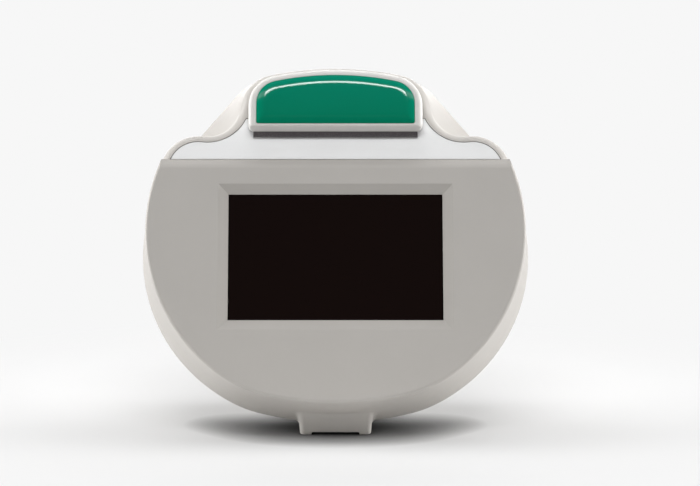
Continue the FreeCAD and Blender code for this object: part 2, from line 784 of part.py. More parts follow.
def screen_cutter():
    """Opening for the glass: a sloped border, a straight lip and a pocket behind."""
    half_u, half_v = val("screen_width") / 2, val("screen_height") / 2
    middle = val("screen_centre_v")
    slope = val("bevel_width") / val("bevel_depth")

    def frame(depth, grow):
        corners = [Vector(-half_u - grow, middle - half_v - grow, depth),
                   Vector(half_u + grow, middle - half_v - grow, depth),
                   Vector(half_u + grow, middle + half_v + grow, depth),
                   Vector(-half_u - grow, middle + half_v + grow, depth)]
        return Part.makePolygon(corners + corners[:1])

    funnel = Part.makeLoft([frame(OVER, val("bevel_width") + OVER * slope),
                            frame(-val("bevel_depth"), 0.0)], True, True)
    through = val("face_wall") + OVER
    lip = extruded(frame(-through, 0.0), through)
    recess = extruded(frame(-through, val("glass_border") + val("panel_gap")), through - val("glass_recess"))
    return [funnel, lip, recess]


def panel_wire(depth, inset):
    """Outline of the white panel: the shell's own outline set in, and cut out round the port."""
    area = Part.Face(outline(depth, 0.0, -val("panel_inset") - inset))
    far, gap = beyond(), val("joint_gap")
    port = val("port_side") + val("seal_lap") + val("seal_width") + gap + inset
    low, middle, high = val("panel_bottom") + inset, val("panel_middle") - inset, val("panel_top") - inset
    right = [Vector(far, low, depth), Vector(far, high, depth), Vector(port, high, depth),
             Vector(port, middle, depth)]
    corners = right + [mirrored(corner) for corner in reversed(right)]
    window = Part.Face(Part.makePolygon(corners + corners[:1]))
    return area.common(window).Faces[0].OuterWire


def panel_back():
    """Depth of the panel's underside."""
    return val("rim_drop") + val("panel_sink") + val("panel_thick")


STEP_CREST = 0.3                # share of the curve's fall that lies before its middle


def front_body():
    """Solid of the front shell: its face, and above a sloped step the rim, which lies lower."""
    body = Part.makeLoft([wall_outline(share * val("joint_depth")) for share in (0.0,) + WALL_STEPS],
                         True, False)
    far, drop, low = beyond(), val("rim_drop"), val("panel_bottom")
    lowered = body.common(reader_box((-far, -far), (far, -drop)))
    face, rim = [shape.makeFillet(val(radius), edges_where(shape, lambda edge: lies_at(edge, depth)))
                 for shape, radius, depth in ((body, "edge_round", 0.0), (lowered, "rim_round", -drop))]
    foot, brow = low - val("step_width"), low - val("step_width") - val("step_round_width")
    crest = Vector(-far, (foot + brow) / 2, -(drop - val("step_fall")) * STEP_CREST)
    curve = Part.Arc(Vector(-far, brow, 0), crest, Vector(-far, foot, val("step_fall") - drop)).toShape()
    corners = [Vector(-far, foot, val("step_fall") - drop), Vector(-far, low, -drop), Vector(-far, low, -far),
               Vector(-far, far, -far), Vector(-far, far, OVER), Vector(-far, brow - OVER, OVER),
               Vector(-far, brow, 0)]
    above = Part.Face(Part.Wire([curve, Part.makePolygon(corners)])).extrude(Vector(2 * far, 0, 0))
    return face.cut(above).fuse(rim.common(reader_box((low, -far), (far, far)))).removeSplitter()


def shell_screw_places():
    return [(sign * val("shell_screw_%s_u" % name), val("shell_screw_%s_v" % name))
            for name in SHELL_SCREWS for sign in (1, -1)]


def bracket_places():
    return [(u * val("bracket_screw_u"), val("screen_centre_v") + v * val("bracket_screw_v"))
            for u in (-1, 1) for v in (-1, 1)]


def bracket_face():
    """Depth of the bracket's front, where its bosses end."""
    return val("glass_recess") + val("glass_thick") + val("gasket_thick") + val("lcd_thick")


def make_front_housing():
    wall, joint, far = val("face_wall"), val("joint_depth"), beyond()
    outer = front_body()
    foot = world_to_face(front_foot()).cut(reader_box((-far, -far), (far, -joint)))
    footed = outer.fuse(foot).removeSplitter()
    shell = footed.makeFillet(val("foot_blend"), seam_edges(footed, outer, foot)).cut(face_cavity())
    bosses = []
    holes = []
    small_bore = val("small_shank") + val("thread_play")
    for u, v in shell_screw_places():
        bosses.append(bar_along_w(val("boss_radius"), u, v, -joint, -wall + ROOT))
        holes.append(bar_along_w(val("shank_radius") + val("thread_play"), u, v, -joint - OVER,
                                 -joint + val("boss_bore")))
    for u, v in bracket_places():
        bosses.append(bar_along_w(val("bracket_boss_radius"), u, v, -bracket_face(), -wall + ROOT))
        holes.append(bar_along_w(small_bore, u, v, -bracket_face() - OVER,
                                 -bracket_face() + val("small_boss_bore")))
    for sign in (-1, 1):
        u, v = sign * val("ear_u"), val("ear_v")
        bosses.append(bar_along_w(val("ear_radius"), u, v, -val("frame_front"), -wall + ROOT))
        holes.append(bar_along_w(small_bore, u, v, -val("frame_front") - OVER,
                                 -val("frame_front") + val("small_boss_bore")))
    port = box_between((-val("port_side"), val("port_low"), -wall - OVER),
                       (val("port_side"), val("port_high"), OVER))
    cutters = screen_cutter() + [extruded(panel_wire(-panel_back(), -val("panel_gap")), panel_back()), port]
    return shell.fuse(bosses).cut(holes + cutters)


node(feature("FrontHousing", make_front_housing().removeSplitter()), "front_housing")

# white panel, let into the face
panel_shape = extruded(panel_wire(-panel_back(), 0.0), val("panel_thick"))
node(feature("LabelPanel", panel_shape), "label_panel")


# ---------------------------------------------------------------- rear shell and its cover

DISH_TURNS = (0, 15, 30, 45, 60, 75, 90)   # degrees round the dish's edge where its outline is given
DISH_POWER = 1.25                          # over 1, the edge is flatter than a quarter ellipse
DISH_FLOOR = 0.8                           # inset of the cavity's floor, over that of the flat back


def dish_wire(turn, extra=0.0, end=0.0):
    """Outline of the rear shell, a number of degrees round the edge that leads to its flat back."""
    start = val("joint_depth") + val("joint_gap")
    angle = math.radians(turn)
    fall = math.sin(angle) ** DISH_POWER * (back_depth() - start - end)
    inset = (1 - math.cos(angle) ** DISH_POWER) * val("dish_inset") if turn < 90 else val("dish_inset")
    return outline(-start - fall, 1.0, -inset - extra)


def pack_wire(depth, inset=0.0):
    """Outline of the rear hump that houses the reader."""
    top_inset = val("pack_step") + inset
    return arch(val("pack_side") - inset, val("pack_low") + inset, val("rear_top") - top_inset,
                val("rear_top_radius") - top_inset, val("pack_corner_radius") - inset,
                val("pack_foot_radius") - inset, depth)


def back_depth():
    return val("joint_depth") + val("dish_depth")


def make_rear_housing():
    joint = val("joint_depth") + val("joint_gap")
    back, wall = back_depth(), val("shell_wall")
    dish = Part.makeLoft([dish_wire(turn) for turn in DISH_TURNS], True, False)
    far = beyond()
    dish = dish.cut(reader_box((-far, -far), (far, -back)))
    hump_start = joint + val("hump_start")
    hump = extruded(pack_wire(-back), back - hump_start)
    inner_wires = [dish_wire(turn, wall, wall) for turn in DISH_TURNS[:-1]]
    inner_wires.append(outline(-back + wall, 1.0, -val("dish_inset") * DISH_FLOOR - wall))
    lid = outline(-joint + OVER, 1.0, -wall)
    cavity = Part.makeLoft(inner_wires, True, False).fuse(Part.makeLoft([lid, inner_wires[0]], True, True))
    tunnel = extruded(pack_wire(-back - OVER, val("cover_wall")), back + OVER - hump_start)
    shell = dish.fuse(hump).cut(cavity).cut(tunnel)
    bosses, holes = [], []
    floor = -back + wall - ROOT
    loose, tight = val("shank_radius") + val("shank_play"), val("shank_radius") + val("thread_play")
    for u, v in shell_screw_places():
        bosses.append(bar_along_w(val("boss_radius"), u, v, floor, -val("joint_depth")))
        holes.append(bar_along_w(loose, u, v, -back - OVER, -joint + OVER))
        holes.append(bar_along_w(val("head_radius") + val("head_play"), u, v, -back - OVER,
                                 -back + val("shell_screw_sink")))
    board_back = val("board_depth") + val("board_thick")
    for u, v in board_places():
        bosses.append(bar_along_w(val("post_radius"), u, v, floor, -board_back))
        holes.append(bar_along_w(val("small_shank") + val("thread_play"), u, v, -back + wall,
                                 -board_back + OVER))
    for u, v in cover_places():
        seat = bar_along_w(val("cover_boss_radius"), u, v, -back, -back + val("cover_boss_depth"))
        bosses.append(seat.common(extruded(pack_wire(-back, ROOT), val("cover_boss_depth"))))
        holes.append(bar_along_w(tight, u, v, -back - OVER, -back + val("cover_boss_depth") - wall))
    for u, v in leg_places():
        holes.append(bar_along_w(loose, u, v, -back - OVER, -back + wall + OVER))
    for socket in ("jack", "usb"):
        u, v = val(socket + "_u"), val(socket + "_v")
        half_u = val(socket + "_half_width") + val("socket_gap")
        half_v = val(socket + "_half_height") + val("socket_gap")
        holes.append(box_between((u - half_u, v - half_v, -back - OVER),
                                 (u + half_u, v + half_v, -back + wall + OVER)))
    holes.append(bar_along_w(val("button_radius") + val("button_gap"), val("button_u"), val("button_v"),
                             -back - OVER, -back + wall + OVER))
    return shell.fuse(bosses).cut(holes)


def board_places():
    return [(u * val("board_screw_u"), val("board_centre_v") + v * val("board_screw_v"))
            for u in (-1, 1) for v in (-1, 1)]


def cover_places():
    return [(u * val("cover_screw_u"), v) for u in (-1, 1)
            for v in (val("cover_screw_low"), val("cover_screw_high"))]


def mid_leg():
    return (val("leg_seat_high") + val("leg_seat_low")) / 2


def leg_places():
    reach = (val("leg_seat_high") - val("leg_seat_low")) / 2 - val("leg_screw_inset")
    return [(u * val("leg_screw_side"), mid_leg() + v * reach) for u in (-1, 1) for v in (-1, 1)]


node(feature("RearHousing", make_rear_housing().removeSplitter()), "rear_housing")


def make_optics_cover():
    back, end, wall = back_depth(), val("pack_depth"), val("cover_wall")
    outer = extruded(pack_wire(-end), end - back)
    outer = outer.makeFillet(val("cover_round"), edges_where(outer, lambda edge: lies_at(edge, -end)))
    cover = outer.cut(extruded(pack_wire(-end + wall, wall), end))
    inside = extruded(pack_wire(-end + ROOT, ROOT), end)
    tubes = [bar_along_w(val("cover_boss_radius"), u, v, -end + wall - ROOT, -back).common(inside)
             for u, v in cover_places()]
    holes = []
    for u, v in cover_places():
        holes.append(bar_along_w(val("shank_radius") + val("shank_play"), u, v, -end - OVER, -back + OVER))
        holes.append(bar_along_w(val("head_radius") + val("head_play"), u, v, -end - OVER,
                                 -end + val("cover_screw_sink")))
    count = int(val("vent_count"))
    for i in range(count):
        u = (i - (count - 1) / 2) * val("vent_pitch")
        half = val("vent_width") / 2
        low = val("vent_low")
        holes.append(box_between((u - half, low, -end - OVER),
                                 (u + half, low + val("vent_length"), -end + wall + OVER)))
    return cover.fuse(tubes).cut(holes)


node(feature("OpticsCover", make_optics_cover().removeSplitter()), "optics_cover")


# ---------------------------------------------------------------- stand leg and rubber feet

def floor_point(v, w):
    """Place over the floor, as (y, z), of a point of the face frame's middle plane."""
    tilt = math.radians(val("face_lean"))
    return Vector(0, v * math.sin(tilt) - w * math.cos(tilt),
                  val("face_height") + v * math.cos(tilt) + w * math.sin(tilt))


def leg_profile(inset):
    """Side view of the leg, set in from its walls and open at its seat on the shell."""
    back = -back_depth() + inset / 2
    seat_high = floor_point(val("leg_seat_high") - inset, back)
    seat_low = floor_point(val("leg_seat_low") + inset, back)
    floor, end = val("leg_clear") + inset, val("bar_front") + val("bar_depth") - inset
    heel_top = max(val("rubber_rise") + val("bar_height") - inset, floor + OVER)
    points = [seat_high, seat_low, Vector(0, seat_low.y + val("leg_toe"), floor), Vector(0, end, floor),
              Vector(0, end, heel_top), Vector(0, val("bar_front") + val("heel_length"),
                                               heel_top + val("heel_rise"))]
    return Part.makePolygon(points + points[:1])


def make_stand_leg():
    side, wall = val("leg_side"), val("leg_wall")
    leg = Part.Face(leg_profile(0.0)).extrude(Vector(2 * side, 0, 0))
    leg.translate(Vector(-side, 0, 0))
    seat_end = floor_point(val("leg_seat_low"), -back_depth()).y + OVER
    leg = leg.makeFillet(val("leg_round"), edges_where(leg, lambda edge: edge.BoundBox.XLength < 1e-6
                                                       and edge.BoundBox.YMin > seat_end))
    hollow = Part.Face(leg_profile(wall)).extrude(Vector(2 * (side - wall), 0, 0))
    hollow.translate(Vector(-side + wall, 0, 0))
    mouth = box_between((-side + wall, val("leg_seat_low") + wall, -back_depth() - wall),
                        (side - wall, val("leg_seat_high") - wall, -back_depth() + OVER))
    face_frame = Placement(Vector(0, 0, val("face_height")),
                           Rotation(Vector(1, 0, 0), 90 - val("face_lean")))
    mouth.transformShape(face_frame.toMatrix())
    bar_low, bar_high = val("rubber_rise"), val("rubber_rise") + val("bar_height")
    bar = box_between((-val("bar_side"), val("bar_front"), bar_low),
                      (val("bar_side"), val("bar_front") + val("bar_depth"), bar_high))
    bar = bar.makeFillet(val("bar_round"), edges_where(bar, lambda edge: edge.BoundBox.ZLength > OVER
                                                       or lies_at(edge, bar_high)))
    pads, holes = [], []
    deep, half = -back_depth() - val("leg_pad_depth"), val("leg_pad_half")
    for u, v in leg_places():
        low, high = (v - half, val("leg_seat_high") - OVER) if v > mid_leg() else (
            val("leg_seat_low") + OVER, v + half)
        pads.append(box_between((-side + OVER, low, deep), (side - OVER, high, -back_depth())))
        holes.append(bar_along_w(val("shank_radius") + val("thread_play"), u, v, deep + wall, -back_depth()))
    for shape in pads + holes:
        shape.transformShape(face_frame.toMatrix())
    sockets = [Part.makeCylinder(val("rubber_radius") + val("rubber_gap"),
                                 val("rubber_height") - val("rubber_rise"),
                                 Vector(sign * val("rubber_side"), val("bar_front") + val("bar_depth") / 2,
                                        bar_low)) for sign in (-1, 1)]
    shell = leg.fuse(bar).cut([hollow, mouth])
    outside = Part.Face(leg_profile(0.0)).extrude(Vector(2 * side, 0, 0))
    outside.translate(Vector(-side, 0, 0))
    pads = [pad.common(outside) for pad in pads]
    return shell.fuse(pads).cut(holes + sockets)


node(feature("StandLeg", make_stand_leg().removeSplitter()), "stand_leg", level)

rubber_pads = [rod("RubberPad%d" % i, "rubber_radius", sign + "rubber_side", "bar_front + bar_depth / 2",
                   ("0", "rubber_height")) for i, sign in enumerate(("-", ""))]
node(group("RubberFeet", rubber_pads), "rubber_feet", level)


# ---------------------------------------------------------------- screws

def screw(name, u, v, seat, length, radius="shank_radius", head="head_radius", thick="head_thick"):
    """Screw driven from behind: its head lies behind the seat and its shank runs forward."""
    head_part = rod(name + "_head", head, u, v, ("%s - %s" % (seat, thick), seat))
    shank = rod(name + "_shank", radius, u, v, (seat, "%s + %s" % (seat, length)))
    return join(name, [head_part, shank])


BACK = "-(joint_depth + dish_depth)"
shell_screws = [screw("HousingScrew_%s_%s" % (name, side), "%sshell_screw_%s_u" % (sign, name),
                      "shell_screw_%s_v" % name, BACK + " + shell_screw_sink", "shell_screw_length")
                for name in SHELL_SCREWS for side, sign in (("left", "-"), ("right", ""))]
node(group("HousingScrews", shell_screws), "housing_screws")

cover_screws = [screw("CoverScrew%d" % i, sign + "cover_screw_u", height, "-pack_depth + cover_screw_sink",
                      "pack_depth - joint_depth - dish_depth + cover_screw_grip")
                for i, (sign, height) in enumerate((sign, height) for sign in ("-", "")
                                                   for height in ("cover_screw_low", "cover_screw_high"))]
node(group("CoverScrews", cover_screws), "cover_screws")

leg_screws = []
for i, (sign, reach) in enumerate((sign, reach) for sign in ("-", "") for reach in ("-", "+")):
    place = "leg_seat_%s %s leg_screw_inset" % (("low", "+") if reach == "-" else ("high", "-"))
    inner = BACK + " + shell_wall"
    head = rod("LegScrewHead%d" % i, "head_radius", sign + "leg_screw_side", place,
               (inner, inner + " + head_thick"))
    shank = rod("LegScrewShank%d" % i, "shank_radius", sign + "leg_screw_side", place,
                (BACK + " - leg_screw_length", inner))
    leg_screws.append(join("LegScrew%d" % i, [head, shank]))
node(group("LegScrews", leg_screws), "leg_screws")


# ---------------------------------------------------------------- screen

GLASS_U = both_sides("screen_width / 2 + glass_border")
GLASS_V = ("screen_centre_v - screen_height / 2 - glass_border",
           "screen_centre_v + screen_height / 2 + glass_border")
GLASS_BACK = "-(glass_recess + glass_thick)"
GASKET_BACK = GLASS_BACK + " - gasket_thick"
LCD_BACK = GASKET_BACK + " - lcd_thick"
LCD_U = both_sides("lcd_width / 2")
LCD_V = ("screen_centre_v - lcd_height / 2", "screen_centre_v + lcd_height / 2")

node(plate("TouchscreenGlass", GLASS_U, GLASS_V, (GLASS_BACK, "-glass_recess"), corner="1.5"),
     "touchscreen_glass")
node(plate("ScreenGasket", GLASS_U, GLASS_V, (GASKET_BACK, GLASS_BACK),
           windows=[(both_sides("screen_width / 2 + glass_border - gasket_width"),
                     ("screen_centre_v - screen_height / 2 - glass_border + gasket_width",
                      "screen_centre_v + screen_height / 2 + glass_border - gasket_width"))]),
     "screen_gasket")
node(plate("LcdModule", LCD_U, LCD_V, (LCD_BACK, GASKET_BACK), corner="1"), "lcd_module")
BRACKET_BACK = LCD_BACK + " - bracket_thick"
bracket_holes = [(u + "bracket_screw_u", "screen_centre_v %s bracket_screw_v" % v, "small_shank + 0.2")
                 for u in ("-", "") for v in ("-", "+")]
node(plate("LcdBracket", both_sides("bracket_screw_u + 4.5"),
           ("screen_centre_v - bracket_height / 2", "screen_centre_v + bracket_height / 2"),
           (BRACKET_BACK, LCD_BACK), holes=bracket_holes, corner="4"), "lcd_bracket")
bracket_screws = [screw("BracketScrew%d" % i, hole[0], hole[1], BRACKET_BACK, "5", "small_shank",
                        "small_head", "small_head_thick") for i, hole in enumerate(bracket_holes)]
node(group("BracketScrews", bracket_screws), "bracket_screws")


# ---------------------------------------------------------------- drawer

def make_drawer_front():
    """Grip with rounded front edges, a sloping underside and a pocket for the label."""
    back, front = val("grip_back"), val("grip_front")
    body = extruded(arch(val("grip_side"), val("grip_bottom"), val("grip_top"), val("grip_top_radius"),
                         val("grip_corner_radius"), val("grip_foot_radius"), back), front - back)
    body = body.makeFillet(val("grip_round"), edges_where(body, lambda edge: lies_at(edge, front)))
    far, low = beyond(), val("grip_bottom")
    heel, lip = Vector(-far, low + val("grip_heel"), back), Vector(-far, low + val("grip_lip"), front)
    run = (lip - heel) * (OVER / (front - back))
    under = Part.makePolygon([heel - run, lip + run, Vector(-far, -far, front + OVER),
                              Vector(-far, -far, back - OVER), heel - run])
    body = body.cut(Part.Face(under).extrude(Vector(2 * far, 0, 0)))
    pocket = label_wire(-val("label_gap"), front - val("label_sink"))
    return body.cut(extruded(pocket, front - back))


def label_wire(inset, depth):
    side, top = val("label_border") + inset, val("label_top_border") + inset
    return arch(val("grip_side") - side, val("grip_bottom") + val("label_bottom_border") + inset,
                val("grip_top") - top, val("grip_top_radius") - top, val("grip_corner_radius") - side,
                val("label_foot_radius"), depth)


LABEL_CROWN = (0.0, 0.15, 0.35, 0.65, 1.0)   # shares of its width at which the crown's outline is given


def make_drawer_label():
    """Label with a straight edge and a clear top that curves up from it."""
    low = val("grip_front") - val("label_sink")
    high = val("grip_front") + val("label_rise")
    crown = [label_wire(share * val("label_crown_width"), high + (1 - (1 - share) ** 2) * val("label_dome"))
             for share in LABEL_CROWN]
    return extruded(label_wire(0.0, low), high - low).fuse(Part.makeLoft(crown, True, False))


node(feature("DrawerFront", make_drawer_front()), "drawer_front")
node(feature("DrawerLabel", make_drawer_label()), "drawer_label")

SEAL = ("grip_back - seal_thick", "grip_back")
SEAL_LOW, SEAL_HIGH = "port_low - joint_gap", "port_high + seal_lap"
node(join("LightSeal", [
    plate("SealRing", both_sides("port_side + seal_lap + seal_width"),
          (SEAL_LOW + " - seal_width", SEAL_HIGH + " + seal_width"), SEAL,
          windows=[(both_sides("port_side + seal_lap"), (SEAL_LOW, SEAL_HIGH))]),
    block("SealLip", both_sides("seal_lip_side"),
          ("grip_bottom + grip_heel - seal_lip", SEAL_LOW + " - seal_width / 2"), SEAL)]),
     "light_seal")

tray = join("TrayBlank", [
    block("TrayBody", both_sides("tray_side"), ("tray_low", "tray_high"), ("-tray_end", "grip_back")),
    block("TrayRunners", both_sides("runner_side"), ("runner_low", "runner_high"),
          ("-tray_end", "-frame_front"))])
CASSETTE_LOW = "tray_high + cassette_rise - cassette_thick"
POCKET = block("CassettePocket", both_sides("cassette_width / 2 + cassette_gap"),
               (CASSETTE_LOW, "tray_high + 1"),
               ("-cassette_front - cassette_length - cassette_gap", "-cassette_front + cassette_gap"))
MAGNET_V = "(tray_low + tray_high) / 2"
MAGNET_SEAT = rod("MagnetSeat", "magnet_radius + 0.05", "magnet_u", MAGNET_V,
                  ("-tray_end - 1", "-tray_end + magnet_thick"))
node(cut("DrawerTray", tray, [POCKET, MAGNET_SEAT]), "drawer_tray")
node(rod("TrayMagnet", "magnet_radius", "magnet_u", MAGNET_V,
         ("-tray_end", "-tray_end + magnet_thick")), "tray_magnet")

cassette_blank = block("CassetteBlank", both_sides("cassette_width / 2"),
                       (CASSETTE_LOW, "tray_high + cassette_rise"),
                       ("-cassette_front - cassette_length", "-cassette_front"))
STRIP_LOW = "tray_high + cassette_rise - strip_depth"
STRIP_V = (STRIP_LOW, STRIP_LOW + " + strip_thick")
VIEW_V = (STRIP_V[1], "tray_high + cassette_rise + 1")
cassette_holes = [
    block("ReadWindow", both_sides("window_width / 2"), VIEW_V,
          ("-window_depth - window_length / 2", "-window_depth + window_length / 2")),
    rod("SampleWell", "well_radius", "0", VIEW_V, "-well_depth"),
    block("StripSlot", both_sides("window_width / 2 + 0.1"), STRIP_V,
          ("-cassette_front - cassette_length + strip_end - 0.2", "-cassette_front - strip_end + 0.2"))]
node(cut("TestCassette", cassette_blank, cassette_holes), "test_cassette")
node(block("TestStrip", both_sides("window_width / 2"), STRIP_V,
           ("-cassette_front - cassette_length + strip_end", "-cassette_front - strip_end")), "test_strip")


# ---------------------------------------------------------------- reader chassis and rails

FRAME_OUT = "frame_side + frame_wall"
FRONT_WALL = ("-frame_front - frame_wall", "-frame_front")
REAR_WALL = ("-frame_rear - frame_wall", "-frame_rear")
MOTOR_WALL = ("-motor_plate - frame_wall", "-motor_plate")
EARS = [block("Ear%d" % i, ("%sear_u - ear_radius" % sign, "%sear_u + ear_radius" % sign),
              ("ear_v - ear_radius", "frame_low"), FRONT_WALL) for i, sign in enumerate(("-", ""))]
frame_parts = EARS + [
    block("FrameFloor", both_sides(FRAME_OUT), ("frame_low", "frame_low + frame_wall"),
          (REAR_WALL[0], FRONT_WALL[1])),
    block("FrameLeft", (minus(FRAME_OUT), "-frame_side"), ("frame_low", "frame_side_high"),
          (REAR_WALL[0], FRONT_WALL[1])),
    block("FrameRight", ("frame_side", FRAME_OUT), ("frame_low", "frame_side_high"),
          (REAR_WALL[0], FRONT_WALL[1])),
    block("FrameRear", both_sides(FRAME_OUT), ("frame_low", "beam_low"), REAR_WALL),
    block("FrontBeam", both_sides(FRAME_OUT), ("beam_low", "frame_side_high"), FRONT_WALL),
    block("FrontTower", both_sides("frame_tower_side"), ("beam_low", "frame_high"), FRONT_WALL),
    block("MotorBeam", both_sides(FRAME_OUT), ("beam_low", "frame_side_high"), MOTOR_WALL),
    block("MotorTower", both_sides("frame_tower_side"), ("beam_low", "frame_high"), MOTOR_WALL)]
frame_holes = [rod("EarHole%d" % i, "small_shank + 0.2", sign + "ear_u", "ear_v",
                   ("-frame_front - 10", "-frame_front + 1")) for i, sign in enumerate(("-", ""))]
for i, sign in enumerate(("-", "")):
    frame_holes.append(rod("RodHole%d" % i, "rod_radius + 0.02", sign + "rod_u", "rod_v",
                           ("-motor_plate - 10", "-frame_front + 1")))
frame_holes.append(rod("ScrewHole", "screw_radius + bore_play", "screw_u", "rod_v",
                       ("-motor_plate - 10", "-frame_front + 1")))
CATCH_LOW = "-frame_rear + catch_rise - magnet_thick - 1"
frame_holes.append(rod("CatchSeat", "magnet_radius + 0.05", "magnet_u", MAGNET_V,
                       (CATCH_LOW, "-frame_rear + 1")))
node(cut("OpticsChassis", join("ChassisBlank", frame_parts), frame_holes), "optics_chassis")
node(rod("CatchMagnet", "magnet_radius", "magnet_u", MAGNET_V, (CATCH_LOW, "-frame_rear + catch_rise")),
     "catch_magnet")
chassis_screws = [screw("ChassisScrew%d" % i, sign + "ear_u", "ear_v", "-frame_front - frame_wall", "5.5",
                        "small_shank", "small_head", "small_head_thick") for i, sign in enumerate(("-", ""))]
node(group("ChassisScrews", chassis_screws), "chassis_screws")

for label, sign in (("rail_left", -1), ("rail_right", 1)):
    span = [("-frame_side", "-frame_side + rail_depth"), ("frame_side - rail_depth", "frame_side")][sign > 0]
    groove = [("-runner_side - slide_gap", "0"), ("0", "runner_side + slide_gap")][sign > 0]
    rail = block(label + "_blank", span, ("frame_low + frame_wall", "runner_high + 3"),
                 ("-frame_rear", "-frame_front - frame_wall"))
    slot = block(label + "_slot", groove, ("runner_low - slide_gap", "runner_high + slide_gap"),
                 ("-frame_rear - 1", "0"))
    node(cut(label + "_cut", rail, [slot]), label)

HEATER_W = ("-frame_rear + 6", "-frame_front - 6")
node(block("HeaterInsulation", both_sides("heater_side"),
           ("frame_low + frame_wall", "frame_low + frame_wall + pad_thick"), HEATER_W), "heater_insulation")
node(block("HeaterPlate", both_sides("heater_side"),
           ("frame_low + frame_wall + pad_thick", "frame_low + frame_wall + pad_thick + heater_thick"),
           HEATER_W), "heater_plate")
node(block("DrawerSwitch", ("detector_u", "detector_u + detector_width"),
           ("frame_low + frame_wall", "tray_low - 0.6"), ("-frame_rear", "-frame_rear + detector_depth")),
     "drawer_switch")


# ---------------------------------------------------------------- read head

rods = [rod("GuideRod%d" % i, "rod_radius", sign + "rod_u", "rod_v",
            ("-motor_plate - frame_wall", "-frame_front")) for i, sign in enumerate(("-", ""))]
node(group("GuideRods", rods), "guide_rods")
node(rod("LeadScrew", "screw_radius", "screw_u", "rod_v",
         ("-motor_plate - frame_wall - 3", "-frame_front - 0.3")), "lead_screw")
motor = rod("MotorCan", "motor_radius", "screw_u", "rod_v",
            ("-motor_plate - frame_wall - motor_length", "-motor_plate - frame_wall"))
motor_bore = rod("MotorBore", "screw_radius + bore_play", "screw_u", "rod_v",
                 ("-motor_plate - frame_wall - 3.4", "-motor_plate"))
node(cut("StepperMotor", motor, [motor_bore]), "stepper_motor")

HEAD_W = ("-head_front - head_length", "-head_front")
HEAD_MIDDLE = "-head_front - head_length / 2"
head_holes = [rod("HeadBore%d" % i, "rod_radius + bore_play", sign + "rod_u", "rod_v",
                  ("-head_front - head_length - 1", "-head_front + 1")) for i, sign in enumerate(("-", ""))]
head_holes.append(rod("NutBore", "screw_radius + bore_play", "screw_u", "rod_v",
                      ("-head_front - head_length - 1", "-head_front + 1")))
head_holes.append(rod("LensWell", "eye_radius", "0", ("head_low - 1", "head_high + 1"), HEAD_MIDDLE))
node(cut("ReadHead", block("HeadBlank", both_sides("head_side"), ("head_low", "head_high"), HEAD_W),
         head_holes), "read_head")
CIRCUIT_W = (HEAD_MIDDLE + " - circuit_depth", HEAD_MIDDLE + " + circuit_depth")
node(block("CameraBoard", both_sides("camera_side"), ("head_high", "head_high + circuit_thick"), CIRCUIT_W),
     "camera_board")
SENSOR_LOW = "head_high - sensor_thick"
node(block("CameraSensor", both_sides("sensor_side"), (SENSOR_LOW, "head_high"),
           (HEAD_MIDDLE + " - sensor_side", HEAD_MIDDLE + " + sensor_side")), "camera_sensor")
node(rod("LensBarrel", "lens_radius", "0", (SENSOR_LOW + " - lens_length", SENSOR_LOW), HEAD_MIDDLE),
     "lens_barrel")
LAMP_SEAT = "head_low - circuit_thick"
led_blank = block("LedBlank", both_sides("camera_side"), (LAMP_SEAT, "head_low"), CIRCUIT_W)
led_eye = rod("LedEye", "lamp_eye", "0", ("head_low - 3", "head_low + 1"), HEAD_MIDDLE)
node(cut("LedBoard", led_blank, [led_eye]), "led_board")
leds = [rod("Led%d" % i, "lamp_radius", u + "lamp_u", (LAMP_SEAT + " - lamp_rise", LAMP_SEAT),
            "%s %s lamp_w" % (HEAD_MIDDLE, w))
        for i, (u, w) in enumerate((u, w) for u in ("-", "") for w in ("-", "+"))]
node(group("Leds", leds), "leds")


# ---------------------------------------------------------------- electronics

BOARD_W = ("-board_depth - board_thick", "-board_depth")
BOARD_BACK = BOARD_W[0]
board_holes = [(u + "board_screw_u", "board_centre_v %s board_screw_v" % v, "small_shank + 0.3")
               for u in ("-", "") for v in ("-", "+")]
node(plate("MainBoard", both_sides("board_width / 2"),
           ("board_centre_v - board_height / 2", "board_centre_v + board_height / 2"), BOARD_W,
           holes=board_holes, corner="3"), "main_board")
board_screws = []
for i, (u, v, radius) in enumerate(board_holes):
    head = rod("BoardScrewHead%d" % i, "small_head", u, v,
               ("-board_depth", "-board_depth + small_head_thick"))
    shank = rod("BoardScrewShank%d" % i, "small_shank", u, v, ("-board_depth - 7", "-board_depth"))
    board_screws.append(join("BoardScrew%d" % i, [head, shank]))
node(group("BoardScrews", board_screws), "board_screws")
node(plate("Processor", both_sides("processor_side"),
           ("board_centre_v + processor_low", "board_centre_v + processor_low + 2 * processor_side"),
           ("-board_depth", "-board_depth + processor_thick"), corner="0.6"), "processor")
CHIP_V = ("board_centre_v + chip_low", "board_centre_v + chip_low + chip_height")
chips = [block("Memory%d" % i, (start, start + " + chip_width"), CHIP_V,
               ("-board_depth", "-board_depth + chip_thick"))
         for i, start in enumerate(("processor_side + 8", "processor_side + 23", "-processor_side - 19"))]
node(group("MemoryChips", chips), "memory_chips")
node(rod("Buzzer", "buzzer_radius", "buzzer_u", "board_centre_v + buzzer_v",
         ("-board_depth", "-board_depth + buzzer_radius")), "buzzer")

SOCKET_BACK = BOARD_BACK + " - socket_height"


def socket_blank(name):
    """Closed body of a socket that stands on the back of the main board."""
    across = ("%s_u - %s_half_width" % (name, name), "%s_u + %s_half_width" % (name, name))
    along = ("%s_v - %s_half_height" % (name, name), "%s_v + %s_half_height" % (name, name))
    return block(name + "_blank", across, along, (SOCKET_BACK, BOARD_BACK))


